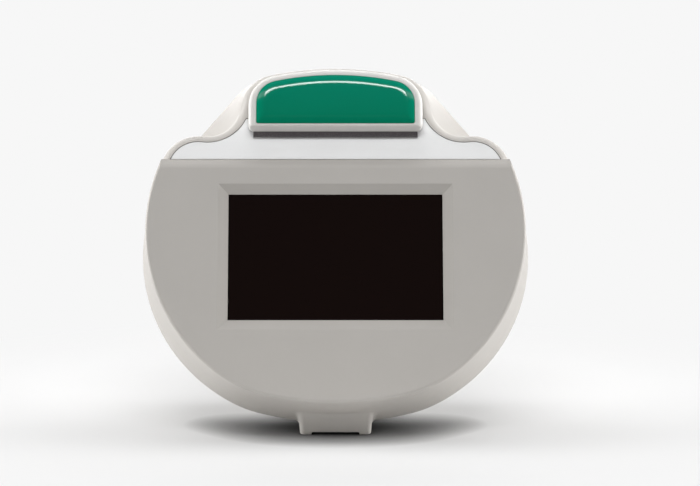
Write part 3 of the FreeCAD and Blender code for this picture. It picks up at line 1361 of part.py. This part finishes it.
jack_hole = rod("JackHole", "jack_bore", "jack_u", "jack_v",
                (SOCKET_BACK + " - 1", SOCKET_BACK + " + jack_deep"))
jack_pin = rod("JackPin", "jack_pin", "jack_u", "jack_v",
               (SOCKET_BACK + " + 1", SOCKET_BACK + " + jack_deep + 0.5"))
node(join("PowerJack", [cut("JackBody", socket_blank("jack"), [jack_hole]), jack_pin]), "power_jack")
usb_hole = block("UsbHole", ("usb_u - usb_half_width + usb_wall", "usb_u + usb_half_width - usb_wall"),
                 ("usb_v - usb_half_height + usb_wall", "usb_v + usb_half_height - usb_wall"),
                 (SOCKET_BACK + " - 1", SOCKET_BACK + " + usb_deep"))
usb_tongue = block("UsbTongue", ("usb_u - 2", "usb_u - 0.2"),
                   ("usb_v - usb_half_height + 1.6 * usb_wall", "usb_v + usb_half_height - 1.6 * usb_wall"),
                   (SOCKET_BACK + " + 1", SOCKET_BACK + " + usb_deep + 0.5"))
node(join("UsbPort", [cut("UsbBody", socket_blank("usb"), [usb_hole]), usb_tongue]), "usb_port")

# power button: a cap through the back, a flange that keeps it in, and a stem to its switch
node(block("ButtonSwitch", ("button_u - switch_half", "button_u + switch_half"),
           ("button_v - switch_half", "button_v + switch_half"),
           (BOARD_BACK + " - switch_height", BOARD_BACK)), "button_switch")
INNER_BACK = BACK + " + shell_wall"
FLANGE_BACK = INNER_BACK + " + button_gap"
cap = rod("ButtonCap", "button_radius", "button_u", "button_v", (BACK + " - button_rise", FLANGE_BACK))
flange = rod("ButtonFlange", "button_radius + flange_spread", "button_u", "button_v",
             (FLANGE_BACK, FLANGE_BACK + " + flange_thick"))
stem = rod("ButtonStem", "stem_radius", "button_u", "button_v",
           (FLANGE_BACK + " + flange_thick", BOARD_BACK + " - switch_height - button_travel - button_gap"))
node(join("PowerButton", [cap, flange, stem]), "power_button")

# flat cable from the foot of the display to its socket on the main board
SOCKET_V = "board_centre_v + ribbon_socket_low"
SOCKET_TOP = "-board_depth + ribbon_socket_thick"
node(block("CableSocket", both_sides("ribbon_socket_side"), (SOCKET_V, SOCKET_V + " + ribbon_socket_height"),
           ("-board_depth", SOCKET_TOP)), "cable_socket")
CABLE_TOP = "screen_centre_v - bracket_height / 2 - cable_gap"
CABLE_END = SOCKET_V + " + ribbon_socket_height / 2"
CABLE_BEND = SOCKET_TOP + " + 2.4"
cable_parts = [
    block("CableDrop", both_sides("cable_side"), (CABLE_TOP + " - cable_thick", CABLE_TOP),
          (CABLE_BEND, LCD_BACK)),
    block("CableFoot", both_sides("cable_side"), (CABLE_END, CABLE_TOP),
          (CABLE_BEND, CABLE_BEND + " + cable_thick")),
    block("CableEnd", both_sides("cable_side"), (CABLE_END, CABLE_END + " + cable_thick"),
          (SOCKET_TOP, CABLE_BEND + " + cable_thick"))]
node(join("DisplayCable", cable_parts), "display_cable")

node(plate("RatingPlate", ("plate_left", "plate_left + plate_width"),
           ("plate_low", "plate_low + plate_height"), (BACK + " - plate_thick", BACK), corner="2"),
     "rating_plate")


# ---------------------------------------------------------------- centring, checks and files

def whole_box():
    box = FreeCAD.BoundBox()
    for obj in nodes:
        box.add(obj.Shape.optimalBoundingBox(False, False))
    return box


doc.recompute()
set_cell("face_setback", -whole_box().Center.y)
doc.recompute()

for obj in doc.Objects:
    if "Invalid" in obj.State or "Error" in obj.State:
        raise RuntimeError("%s did not build: %s" % (obj.Label, obj.State))
for obj in nodes:
    if obj.Shape.isNull() or not obj.Shape.isValid() or not obj.Shape.Solids:
        raise RuntimeError(obj.Label + " has no sound solid")

os.makedirs("parts", exist_ok=True)
for obj in nodes:
    obj.Shape.exportStep(os.path.join("parts", obj.Label + ".step"))

box = whole_box()
print("%d nodes, box %.2f x %.2f x %.2f mm, lowest %.3f, centre %.3f, %.3f" % (
    len(nodes), box.XLength, box.YLength, box.ZLength, box.ZMin, box.Center.x, box.Center.y))
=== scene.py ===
import json
import math

import bmesh
import bpy
from mathutils import Matrix, Vector


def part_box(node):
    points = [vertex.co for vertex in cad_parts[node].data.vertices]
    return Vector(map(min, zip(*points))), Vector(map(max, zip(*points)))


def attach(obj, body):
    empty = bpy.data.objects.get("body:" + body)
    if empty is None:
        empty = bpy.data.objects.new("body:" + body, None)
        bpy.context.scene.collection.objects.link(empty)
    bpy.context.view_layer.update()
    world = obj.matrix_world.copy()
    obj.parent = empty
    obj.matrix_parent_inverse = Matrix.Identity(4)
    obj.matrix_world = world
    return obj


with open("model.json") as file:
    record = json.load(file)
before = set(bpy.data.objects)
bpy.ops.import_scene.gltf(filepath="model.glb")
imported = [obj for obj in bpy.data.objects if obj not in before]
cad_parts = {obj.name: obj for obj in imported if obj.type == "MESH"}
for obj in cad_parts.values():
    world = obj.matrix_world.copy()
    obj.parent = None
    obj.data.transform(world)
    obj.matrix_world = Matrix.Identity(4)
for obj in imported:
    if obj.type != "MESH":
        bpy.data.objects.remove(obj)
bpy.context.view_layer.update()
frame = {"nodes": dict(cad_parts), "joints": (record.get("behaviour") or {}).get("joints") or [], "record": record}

MM = 0.001
nodes = frame["nodes"]
slots = {part["node"]: part["material_slot"] for part in frame["record"]["subparts"]}

# ---------------------------------------------------------------- the leaning face frame
# u runs to the right, v up along the face and w out of it towards the user; the zero is at the
# height of the disc's middle. The drawer slides along w.

drawer_joint = next(joint for joint in frame["joints"] if joint["name"] == "drawer_slide")
AXIS_U = Vector((1, 0, 0))
AXIS_W = Vector(drawer_joint["axis"]).normalized()
AXIS_V = AXIS_W.cross(AXIS_U)
GLASS_V, GLASS_W = -8.4 * MM, -2.95 * MM          # middle of the touch screen's glass
glass_low, glass_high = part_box("touchscreen_glass")
ORIGIN = (glass_low + glass_high) / 2 - AXIS_V * GLASS_V - AXIS_W * GLASS_W
FACE = Matrix.Translation(ORIGIN) @ Matrix((AXIS_U, AXIS_V, AXIS_W)).transposed().to_4x4()
BACKWARDS = Matrix.Rotation(math.pi, 4, "Y")      # turns the face frame's w to the back

# ---------------------------------------------------------------- node trees and finishes

MIX_FACTOR, MIX_FIRST, MIX_SECOND, MIX_RESULT = 0, 6, 7, 2     # sockets of a Mix node for colours


class Graph:
    """A node tree that is built up by short calls."""

    def __init__(self, tree):
        self.tree = tree

    def feed(self, value, socket):
        """Link a socket, or set a plain value."""
        if isinstance(value, bpy.types.NodeSocket):
            self.tree.links.new(value, socket)
        else:
            socket.default_value = value

    def node(self, kind, **inputs):
        """New shader node with some of its inputs fed; their names have _ for a space."""
        made = self.tree.nodes.new("ShaderNode" + kind)
        for socket, value in inputs.items():
            self.feed(value, made.inputs[socket.replace("_", " ")])
        return made

    def calculate(self, operation, *values, kind="Math"):
        """Number that a Math or VectorMath node makes of its values."""
        made = self.node(kind)
        made.operation = operation
        for value, socket in zip(values, made.inputs):
            self.feed(value, socket)
        return made.outputs["Value"]

    def here(self):
        """Place on the object, in metres of its own frame."""
        return self.node("TexCoord").outputs["Object"]

    def ramp(self, factor, low, high, start=0.0, end=1.0, smooth=False):
        """Factor from start to end of its range becomes low to high."""
        made = self.node("MapRange", Value=factor, From_Min=start, From_Max=end, To_Min=low, To_Max=high)
        made.interpolation_type = "SMOOTHSTEP" if smooth else "LINEAR"
        return made.outputs["Result"]

    def mix(self, factor, first, second):
        """Shader between two shaders."""
        made = self.node("MixShader")
        for value, socket in zip((factor, first, second), made.inputs):
            self.feed(value, socket)
        return made.outputs["Shader"]

    def background_rays(self):
        """1 for rays from the camera, from mirrors and through glass, which see the pale background."""
        path = self.node("LightPath")
        seen = path.outputs["Is Camera Ray"]
        for kind in ("Is Glossy Ray", "Is Transmission Ray"):
            seen = self.calculate("MAXIMUM", seen, path.outputs[kind])
        return seen


class Finish(Graph):
    """A node material round one Principled shader."""

    def __init__(self, name, color, roughness, **sockets):
        self.material = bpy.data.materials.new(name)
        self.material.use_nodes = True
        super().__init__(self.material.node_tree)
        self.shader = self.tree.nodes["Principled BSDF"]
        self.normal = None
        self.colour((*color, 1.0)).rough(roughness)
        for socket, value in sockets.items():
            self.feed(value, self.shader.inputs[socket.replace("_", " ")])

    def noise(self, grain, detail=2.0, roughness=0.5, stretch=None):
        """Noise whose lumps are about grain metres wide, from 0 to 1."""
        place_on = self.here()
        if stretch:
            place_on = self.node("Mapping", Vector=place_on, Scale=stretch).outputs["Vector"]
        return self.node("TexNoise", Vector=place_on, Scale=1.0 / grain, Detail=detail,
                         Roughness=roughness).outputs["Fac"]

    def speckle(self, grain):
        """Cells about grain metres wide, 0 at their middles."""
        return self.node("TexVoronoi", Vector=self.here(), Scale=1.0 / grain).outputs["Distance"]

    def slope(self, axis):
        """How far the surface faces along an axis, from -1 to 1."""
        facing = self.node("NewGeometry").outputs["True Normal"]
        return self.calculate("DOT_PRODUCT", facing, axis, kind="VectorMath")

    def blend(self, factor, first, second):
        """Colour between two colours or colour sockets."""
        made = self.node("Mix")
        made.data_type = "RGBA"
        self.feed(factor, made.inputs[MIX_FACTOR])
        for value, number in ((first, MIX_FIRST), (second, MIX_SECOND)):
            self.feed((*value, 1.0) if isinstance(value, tuple) else value, made.inputs[number])
        return made.outputs[MIX_RESULT]

    def tones(self, factor, color, darkest, lightest):
        """The colour from its darkest to its lightest share."""
        return self.blend(factor, shade(color, darkest), shade(color, lightest))

    def colour(self, value):
        self.feed(value, self.shader.inputs["Base Color"])
        return self

    def rough(self, value):
        self.feed(value, self.shader.inputs["Roughness"])
        return self

    def bump(self, height, depth, strength):
        """Relief of that depth in metres; several calls lie on one another."""
        made = self.node("Bump", Height=height, Distance=depth, Strength=strength)
        if self.normal:
            self.feed(self.normal, made.inputs["Normal"])
        return self.turned_by(made)

    def soften(self, radius):
        """Edges catch the light as if rounded by that radius."""
        made = self.node("Bevel", Radius=radius)
        made.samples = 4
        return self.turned_by(made)

    def turned_by(self, node):
        """The surface faces where that node says."""
        self.normal = node.outputs["Normal"]
        self.feed(self.normal, self.shader.inputs["Normal"])
        return self


def shade(color, factor):
    """The colour at a share of its strength."""
    return tuple(min(1.0, channel * factor) for channel in color)


def moulded(name, color, roughness, texture_depth=0.012 * MM):
    """Injection-moulded plastic with a fine eroded texture and slight unevenness of tone."""
    cloud_size, fleck_size, gloss_size, texture_size = 28 * MM, 0.9 * MM, 4 * MM, 0.45 * MM
    finish = Finish(name, color, roughness).soften(radius=0.25 * MM)
    tone = finish.tones(finish.noise(cloud_size, detail=3.0), color, darkest=0.965, lightest=1.03)
    fleck = finish.noise(fleck_size, detail=3.0, roughness=0.7)
    fleck = finish.ramp(fleck, 0.0, 0.35, start=0.55, end=0.75)
    finish.colour(finish.blend(fleck, tone, shade(color, 0.93)))
    finish.rough(finish.ramp(finish.noise(gloss_size), roughness - 0.05, roughness + 0.07))
    finish.bump(finish.noise(texture_size, roughness=0.6), depth=texture_depth, strength=0.6)
    return finish.material


def metal(name, color, roughness, grain, stretch=None):
    """Metal with a drawn, ground or rolled grain."""
    finish = Finish(name, color, roughness, Metallic=1.0).soften(radius=0.12 * MM)
    lines = finish.noise(grain, detail=3.0, roughness=0.6, stretch=stretch)
    finish.colour(finish.tones(lines, color, darkest=0.86, lightest=1.08))
    finish.rough(finish.ramp(lines, roughness * 0.75, roughness * 1.3))
    finish.bump(lines, depth=0.004 * MM, strength=0.5)
    return finish.material


def woven(name, color, grain):
    """Felt, card or membrane."""
    finish = Finish(name, color, roughness=0.9)
    threads = finish.noise(grain, detail=4.0, roughness=0.7, stretch=(1.0, 4.0, 1.0))
    finish.colour(finish.tones(threads, color, darkest=0.82, lightest=1.1))
    finish.bump(threads, depth=0.05 * MM, strength=0.6)
    return finish.material


def screen_glass(name):
    """Dark glass: the display's lit area is a shade browner than its printed black border."""
    black, display = (0.0025, 0.0012, 0.001), (0.0055, 0.0021, 0.0016)
    display_half_width, border_blur = 53.6 * MM, 0.3 * MM
    finish = Finish(name, black, roughness=0.07, Specular_IOR_Level=0.03)
    across = finish.node("SeparateXYZ", Vector=finish.here()).outputs["X"]
    inside = finish.ramp(finish.calculate("ABSOLUTE", across), 1.0, 0.0,
                         start=display_half_width, end=display_half_width + border_blur)
    finish.colour(finish.blend(inside, black, display))
    finish.rough(finish.ramp(finish.noise(9 * MM, detail=4.0, roughness=0.7), 0.05, 0.11))
    return finish.material


def green_label(name):
    """Green print under clear resin, with painted shade: darker towards its foot, lighter towards its top.

    The resin is glossy where its dome faces a little up the face, and not on its steep rim.
    """
    shaded_green, lit_green = (0.0009, 0.188, 0.103), (0.001, 0.235, 0.146)
    finish = Finish(name, lit_green, roughness=0.16, Coat_Roughness=0.02, Coat_IOR=1.75,
                    Specular_IOR_Level=0.02)
    height = finish.node("SeparateXYZ", Vector=finish.here()).outputs["Z"]
    foot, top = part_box("drawer_label")
    # painted shade: the green runs darker towards the label's foot and lighter towards its top
    tone = finish.blend(finish.ramp(height, 0.0, 1.0, start=foot.z, end=top.z), shaded_green, lit_green)
    grain = finish.ramp(finish.noise(0.35 * MM), 0.0, 0.5, start=0.4, end=0.8)
    finish.colour(finish.blend(grain, tone, shade(shaded_green, 1.25)))
    finish.rough(finish.ramp(finish.noise(6 * MM), 0.12, 0.2))
    slope = finish.slope(AXIS_V)
    glossy = finish.calculate("MULTIPLY", finish.ramp(slope, 0.0, 1.0, start=0.05, end=0.1),
                              finish.ramp(slope, 1.0, 0.0, start=0.16, end=0.2))
    finish.feed(glossy, finish.shader.inputs["Coat Weight"])
    return finish.material


def foam(name):
    """Black foam with open cells; on the seal lip below the drawer's grip it is partly painted shade, in the tone
    of the grip's shadow.
    """
    # partly painted shade: this grey is the tone of the grip's shadow where the seal shows below the grip
    color = (0.11, 0.1, 0.105)
    finish = Finish(name, color, roughness=0.92)
    cells = finish.speckle(0.5 * MM)
    finish.colour(finish.tones(cells, color, darkest=0.5, lightest=1.5))
    finish.bump(cells, depth=0.08 * MM, strength=0.8)
    return finish.material


def rubber(name):
    """Black rubber with a dusty unevenness."""
    color = (0.018, 0.018, 0.019)
    finish = Finish(name, color, roughness=0.7).soften(radius=0.3 * MM)
    finish.colour(finish.tones(finish.noise(3 * MM, detail=3.0), color, darkest=0.7, lightest=1.6))
    finish.rough(finish.ramp(finish.noise(1.2 * MM), 0.6, 0.82))
    finish.bump(finish.noise(0.5 * MM), depth=0.03 * MM, strength=0.5)
    return finish.material


def circuit_board(name):
    """Green solder mask over a pattern of tracks."""
    mask, track, tracks_per_metre = (0.008, 0.09, 0.035), (0.02, 0.16, 0.06), 420.0
    finish = Finish(name, mask, roughness=0.4, Coat_Weight=0.4)
    lines = finish.node("TexBrick", Vector=finish.here(), Scale=tracks_per_metre).outputs["Fac"]
    finish.colour(finish.blend(lines, mask, track))
    finish.bump(lines, depth=0.02 * MM, strength=0.4)
    return finish.material


def brushed_foil(name):
    """Silver foil with a brushed grain."""
    color = (0.62, 0.63, 0.64)
    finish = Finish(name, color, roughness=0.34, Metallic=0.85)
    lines = finish.noise(0.3 * MM, detail=3.0, roughness=0.6, stretch=(0.06, 1.0, 1.0))
    finish.colour(finish.tones(lines, color, darkest=0.85, lightest=1.12))
    finish.rough(finish.ramp(lines, 0.26, 0.45))
    finish.bump(lines, depth=0.01 * MM, strength=0.4)
    return finish.material


PLASTICS = {              # colour, roughness, and depth of the texture if it isn't the usual one
    "housing_plastic": ((0.412, 0.392, 0.367), 0.48),
    "grip_plastic": ((0.64, 0.625, 0.6), 0.42, 0.006 * MM),
    "white_panel": ((0.865, 0.87, 0.872), 0.4, 0.003 * MM),
    "tray_plastic": ((0.045, 0.047, 0.05), 0.55),
    "cassette_plastic": ((0.84, 0.84, 0.81), 0.38, 0.004 * MM),
    "chassis_plastic": ((0.012, 0.012, 0.013), 0.6),
    "rail_plastic": ((0.7, 0.69, 0.63), 0.45),
    "dark_plastic": ((0.014, 0.014, 0.015), 0.5),
    "led_lens": ((0.85, 0.83, 0.72), 0.2),
    "socket_plastic": ((0.72, 0.66, 0.5), 0.45),
    "button_plastic": ((0.075, 0.078, 0.082), 0.4),
}
METALS = {                # colour, roughness, width of the grain, and its stretch if it has a direction
    "lcd_metal": ((0.55, 0.56, 0.57), 0.38, 2 * MM),
    "sheet_steel": ((0.52, 0.53, 0.54), 0.4, 3 * MM),
    "steel_screws": ((0.46, 0.47, 0.48), 0.33, 0.6 * MM),
    "nickel": ((0.66, 0.63, 0.58), 0.22, 1 * MM),
    "heater_aluminium": ((0.68, 0.69, 0.7), 0.35, 1 * MM, (1.0, 0.1, 1.0)),
    "ground_steel": ((0.58, 0.58, 0.59), 0.2, 0.5 * MM),
    "motor_steel": ((0.42, 0.42, 0.43), 0.4, 1.5 * MM),
    "lens_black": ((0.02, 0.02, 0.022), 0.4, 0.5 * MM),
    "socket_steel": ((0.56, 0.56, 0.57), 0.28, 1 * MM),
}
FABRICS = {               # colour and width of the threads
    "strip_card": ((0.86, 0.84, 0.78), 0.3 * MM),
    "insulation": ((0.55, 0.5, 0.43), 0.8 * MM),
    "flat_cable": ((0.42, 0.2, 0.045), 0.6 * MM),
}
SPECIALS = {
    "screen_glass": screen_glass,
    "green_label": green_label,
    "black_foam": foam,
    "rubber": rubber,
    "circuit_board": circuit_board,
    "plate_foil": brushed_foil,
}
finishes = {name: make(name) for name, make in SPECIALS.items()}
for make, table in ((moulded, PLASTICS), (metal, METALS), (woven, FABRICS)):
    finishes.update((name, make(name, *values)) for name, values in table.items())

for name, obj in nodes.items():
    obj.data.materials.clear()
    obj.data.materials.append(finishes[slots[name]])

# ---------------------------------------------------------------- small pieces on the CAD nodes

SUNK = 0.05 * MM                         # how far small pieces reach into what carries them
SAME_POINT, SAME_FLAT = 0.001 * MM, 0.02 * MM       # how near corners are one, or lie in one flat
ROUND_STEPS, CORNER_STEPS = 48, 4        # sides of a circle, and of a rounded corner
ARCH = (0.0, 0.17, 0.33, 0.5, 0.67, 0.83, 1.0)      # places round a bead's arched section


def islands(node):
    """Point lists of a CAD node's separate solids, in the face frame."""
    shape = bmesh.new()
    shape.from_mesh(nodes[node].data)
    bmesh.ops.remove_doubles(shape, verts=shape.verts, dist=SAME_POINT)
    to_face = FACE.inverted() @ nodes[node].matrix_world
    left = dict.fromkeys(shape.verts)    # in the mesh's order, and so the same each run
    found = []
    while left:
        group, fresh = [], [left.popitem()[0]]
        while fresh:
            vert = fresh.pop()
            group.append(to_face @ vert.co)
            for edge in vert.link_edges:
                other = edge.other_vert(vert)
                if other in left:
                    del left[other]
                    fresh.append(other)
        found.append(group)
    shape.free()
    return found


def rear_flat(points):
    """Middle of the rearmost flat of some points, and its half sizes in u and v."""
    back = min(point.z for point in points)
    flat = [point for point in points if point.z < back + SAME_FLAT]
    low, high = [Vector([pick(point[axis] for point in flat) for axis in range(3)])
                 for pick in (min, max)]
    return (low + high) / 2, (high - low) / 2


def solid(name, outlines, finish, body, middle, hole=False):
    """Closed piece through outlines of (x, y, z) points, its z away from the reader's back."""
    shape = bmesh.new()
    rings = [[shape.verts.new(point) for point in outline] for outline in outlines]
    pairs = list(zip(rings, rings[1:])) + ([(rings[-1], rings[0])] if hole else [])
    for first, second in pairs:
        for index, vert in enumerate(first):
            following = (index + 1) % len(first)
            shape.faces.new((vert, first[following], second[following], second[index]))
    if not hole:
        shape.faces.new(rings[0])
        shape.faces.new(rings[-1])
    bmesh.ops.recalc_face_normals(shape, faces=shape.faces)
    mesh = bpy.data.meshes.new(name)
    shape.to_mesh(mesh)
    shape.free()
    mesh.materials.append(finishes[finish])
    piece = bpy.data.objects.new(name, mesh)
    bpy.context.scene.collection.objects.link(piece)
    piece.matrix_world = FACE @ Matrix.Translation(middle) @ BACKWARDS
    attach(piece, body)
    return piece


def cross(reach, arm, rise):
    """Outline of a cross whose arms are 2 * arm wide."""
    quarter = [(arm, arm), (arm, reach), (-arm, reach)]
    return [(cos * x - sin * y, sin * x + cos * y, rise)
            for cos, sin in ((1, 0), (0, 1), (-1, 0), (0, -1)) for x, y in quarter]


def circle(radius, rise):
    """Outline of a circle."""
    turns = [2 * math.pi * step / ROUND_STEPS for step in range(ROUND_STEPS)]
    return [(radius * math.cos(turn), radius * math.sin(turn), rise) for turn in turns]


def rectangle(half_width, half_height, corner, rise):
    """Outline of a rectangle with rounded corners."""
    points = []
    for turn, (x, y) in enumerate(((1, 1), (-1, 1), (-1, -1), (1, -1))):
        for step in range(CORNER_STEPS + 1):
            angle = math.pi / 2 * (turn + step / CORNER_STEPS)
            points.append((x * (half_width - corner) + corner * math.cos(angle),
                           y * (half_height - corner) + corner * math.sin(angle), rise))
    return points


def bead(name, radius, width, height, finish, body, middle):
    """Round bead of an arched section that lies on a flat."""
    outlines = [circle(radius - width / 2 * math.cos(math.pi * share),
                       height * math.sin(math.pi * share) - SUNK) for share in ARCH]
    piece = solid(name, outlines, finish, body, middle, hole=True)
    piece.data.polygons.foreach_set("use_smooth", [True] * len(piece.data.polygons))


def dress_screws(node):
    """Painted shade, a black cross, for each screw head's recess, and a raised rim, sized from the head's radius.
    """
    for number, points in enumerate(islands(node)):
        middle, half = rear_flat(points)
        reach = half.x * 0.62
        # painted shade: a thin black cross sheet stands for the shade in the screw head's cross recess
        solid("%s_painted_recess_shade_%d" % (node, number),
              [cross(reach * 0.94, arm=reach * 0.2, rise=-SUNK), cross(reach, arm=reach * 0.26, rise=SUNK)],
              "lens_black", "housing", middle)
        bead("%s_rim_%d" % (node, number), radius=half.x * 0.84, width=half.x * 0.16, height=0.1 * MM,
             finish="steel_screws", body="housing", middle=middle)


def dress_button():
    """Two raised rings on the power button."""
    middle, half = rear_flat(islands("power_button")[0])
    for number, share in enumerate((0.45, 0.72)):
        bead("button_bead_%d" % number, radius=min(half.x, half.y) * share, width=0.7 * MM,
             height=0.25 * MM, finish="button_plastic", body="power_button", middle=middle)


def dress_plate():
    """A border and three plain rules on the bare rating plate."""
    line, raised, margin, corner, indent = 0.35 * MM, 0.08 * MM, 1.4 * MM, 1.0 * MM, 1.5 * MM
    middle, half = rear_flat(islands("rating_plate")[0])
    half_width, half_height = half.x - margin, half.y - margin
    outlines = [rectangle(half_width + wider, half_height + wider, corner + wider, rise)
                for wider, rise in ((0, -SUNK), (0, raised), (line, raised), (line, -SUNK))]
    solid("plate_border", outlines, "dark_plastic", "housing", middle, hole=True)
    for number, share in enumerate((-0.38, 0.05, 0.5)):
        outlines = [rectangle(half_width - indent, line / 2, line / 3, rise) for rise in (-SUNK, raised)]
        solid("plate_line_%d" % number, outlines, "dark_plastic", "housing",
              middle + Vector((0, share * half.y, 0)))


dress_screws("cover_screws")
dress_screws("housing_screws")
dress_button()
dress_plate()

# ---------------------------------------------------------------- floor and backdrop

WHITE = (0.93, 0.93, 0.93, 1.0)          # backdrop, and the floor further out
FLOOR_RADIUS, FLOOR_SIDES = 6.0, 96
FLOOR_TONE, FLOOR_GLOW = 0.62, 0.08      # floor round the object: its tone, and its share of glow
GLOW_FROM, GLOW_TO = 0.13, 0.3           # radii between which it runs out into the backdrop's white
CONTACT_SHADOW_TONE = 0.02                      # painted shadow: the floor's colour where the object is close over it
CONTACT_REACH, CONTACT_POWER = 24 * MM, 1.3
NEAR_TONE, FAR_TONE = 0.95, 0.3          # floor as it lights the object, near it and far from it
FAR_FROM, FAR_TO = 0.1, 0.5


def make_floor():
    """Pale floor: lit round the object with a painted shadow close under it, and the backdrop's own white further
    out.
    """
    mesh = bpy.data.meshes.new("floor")
    shape = bmesh.new()
    bmesh.ops.create_circle(shape, cap_ends=True, radius=FLOOR_RADIUS, segments=FLOOR_SIDES)
    shape.to_mesh(mesh)
    shape.free()
    floor = bpy.data.objects.new("floor", mesh)
    bpy.context.scene.collection.objects.link(floor)
    material = bpy.data.materials.new("floor_white")
    material.use_nodes = True
    graph = Graph(material.node_tree)
    graph.tree.nodes.remove(graph.tree.nodes["Principled BSDF"])

    def diffuse(tone):
        return graph.node("BsdfDiffuse", Color=(tone, tone, tone, 1.0)).outputs["BSDF"]

    def ring(inner, outer):
        """0 inside one radius and 1 outside the other."""
        return graph.ramp(from_middle, 0.0, 1.0, start=inner, end=outer, smooth=True)

    from_middle = graph.calculate("LENGTH", graph.here(), kind="VectorMath")
    # painted shadow: ambient occlusion darkens the floor's colour where the object is close over it
    openness = graph.node("AmbientOcclusion", Distance=CONTACT_REACH)
    openness.samples = 16
    clear = graph.calculate("POWER", openness.outputs["AO"], CONTACT_POWER)
    glow = graph.node("Emission", Color=WHITE).outputs["Emission"]
    pale = graph.mix(clear, diffuse(CONTACT_SHADOW_TONE), graph.mix(FLOOR_GLOW, diffuse(FLOOR_TONE), glow))
    seen = graph.mix(ring(GLOW_FROM, GLOW_TO), pale, glow)
    unseen = graph.mix(ring(FAR_FROM, FAR_TO), diffuse(NEAR_TONE), diffuse(FAR_TONE))
    whole = graph.mix(graph.background_rays(), unseen, seen)
    graph.feed(whole, graph.tree.nodes["Material Output"].inputs["Surface"])
    floor.data.materials.append(material)


make_floor()

scene = bpy.context.scene
scene.view_settings.view_transform = "Standard"
scene.world = bpy.data.worlds.new("studio")
scene.world.use_nodes = True
sky = Graph(scene.world.node_tree)
unlit = sky.tree.nodes["Background"]     # the world adds no light of its own
unlit.inputs["Strength"].default_value = 0.0
backdrop = sky.node("Background", Color=WHITE)
backdrop = sky.mix(sky.background_rays(), unlit.outputs["Background"], backdrop.outputs["Background"])
sky.feed(backdrop, sky.tree.nodes["World Output"].inputs["Surface"])

# ---------------------------------------------------------------- lamps

AIM = Vector((0.0, 0.0, 0.1))
LAMPS = (                 # name, place, width and height in metres, and power in watts
    ("lamp_top", (0.0, 0.1, 1.3), 1.1, 0.9, 5.4),
    ("lamp_strip", (0.0, 0.42, 1.15), 1.8, 0.12, 5.2),
    ("lamp_back", (0.0, 1.4, 0.6), 1.8, 0.8, 10.0),
    ("lamp_front", (0.0, -1.16, 1.48), 1.2, 0.4, 14.3),
    ("lamp_front_low", (0.0, -1.67, 0.78), 1.2, 0.3, 2.8),
    ("lamp_left", (-1.15, 0.12, 0.3), 0.6, 0.8, 17.5),
    ("lamp_right", (1.15, 0.12, 0.3), 0.6, 0.8, 17.5),
)


def softbox(name, place, width, height, power):
    """Rectangular lamp that faces the object."""
    lamp = bpy.data.lights.new(name, "AREA")
    lamp.shape = "RECTANGLE"
    lamp.size, lamp.size_y, lamp.energy = width, height, power
    obj = bpy.data.objects.new(name, lamp)
    obj.location = place
    obj.rotation_euler = (AIM - Vector(place)).to_track_quat("-Z", "Y").to_euler()
    scene.collection.objects.link(obj)


for lamp_facts in LAMPS:
    softbox(*lamp_facts)

# ---------------------------------------------------------------- camera

IMAGE_WIDTH = 700                        # pixels, and so for the two below
ZERO_LEFT, ZERO_UP = 14.5, 3.0           # the face frame's zero from the picture's middle
DISTANCE, ELEVATION = 1.5, math.radians(8.0)
PIXEL = 0.507 * MM                       # size of a pixel at that distance
camera = bpy.data.cameras.new("camera")
camera.sensor_width = 36.0
camera.lens = camera.sensor_width * DISTANCE / (IMAGE_WIDTH * PIXEL)
camera.shift_x, camera.shift_y = ZERO_LEFT / IMAGE_WIDTH, -ZERO_UP / IMAGE_WIDTH
camera.clip_start, camera.clip_end = 0.05, 30.0
viewer = bpy.data.objects.new("camera", camera)
back = Vector((0, -math.cos(ELEVATION), math.sin(ELEVATION)))
viewer.location = ORIGIN + back * DISTANCE
viewer.rotation_euler = (-back).to_track_quat("-Z", "Y").to_euler()
scene.collection.objects.link(viewer)
scene.camera = viewer
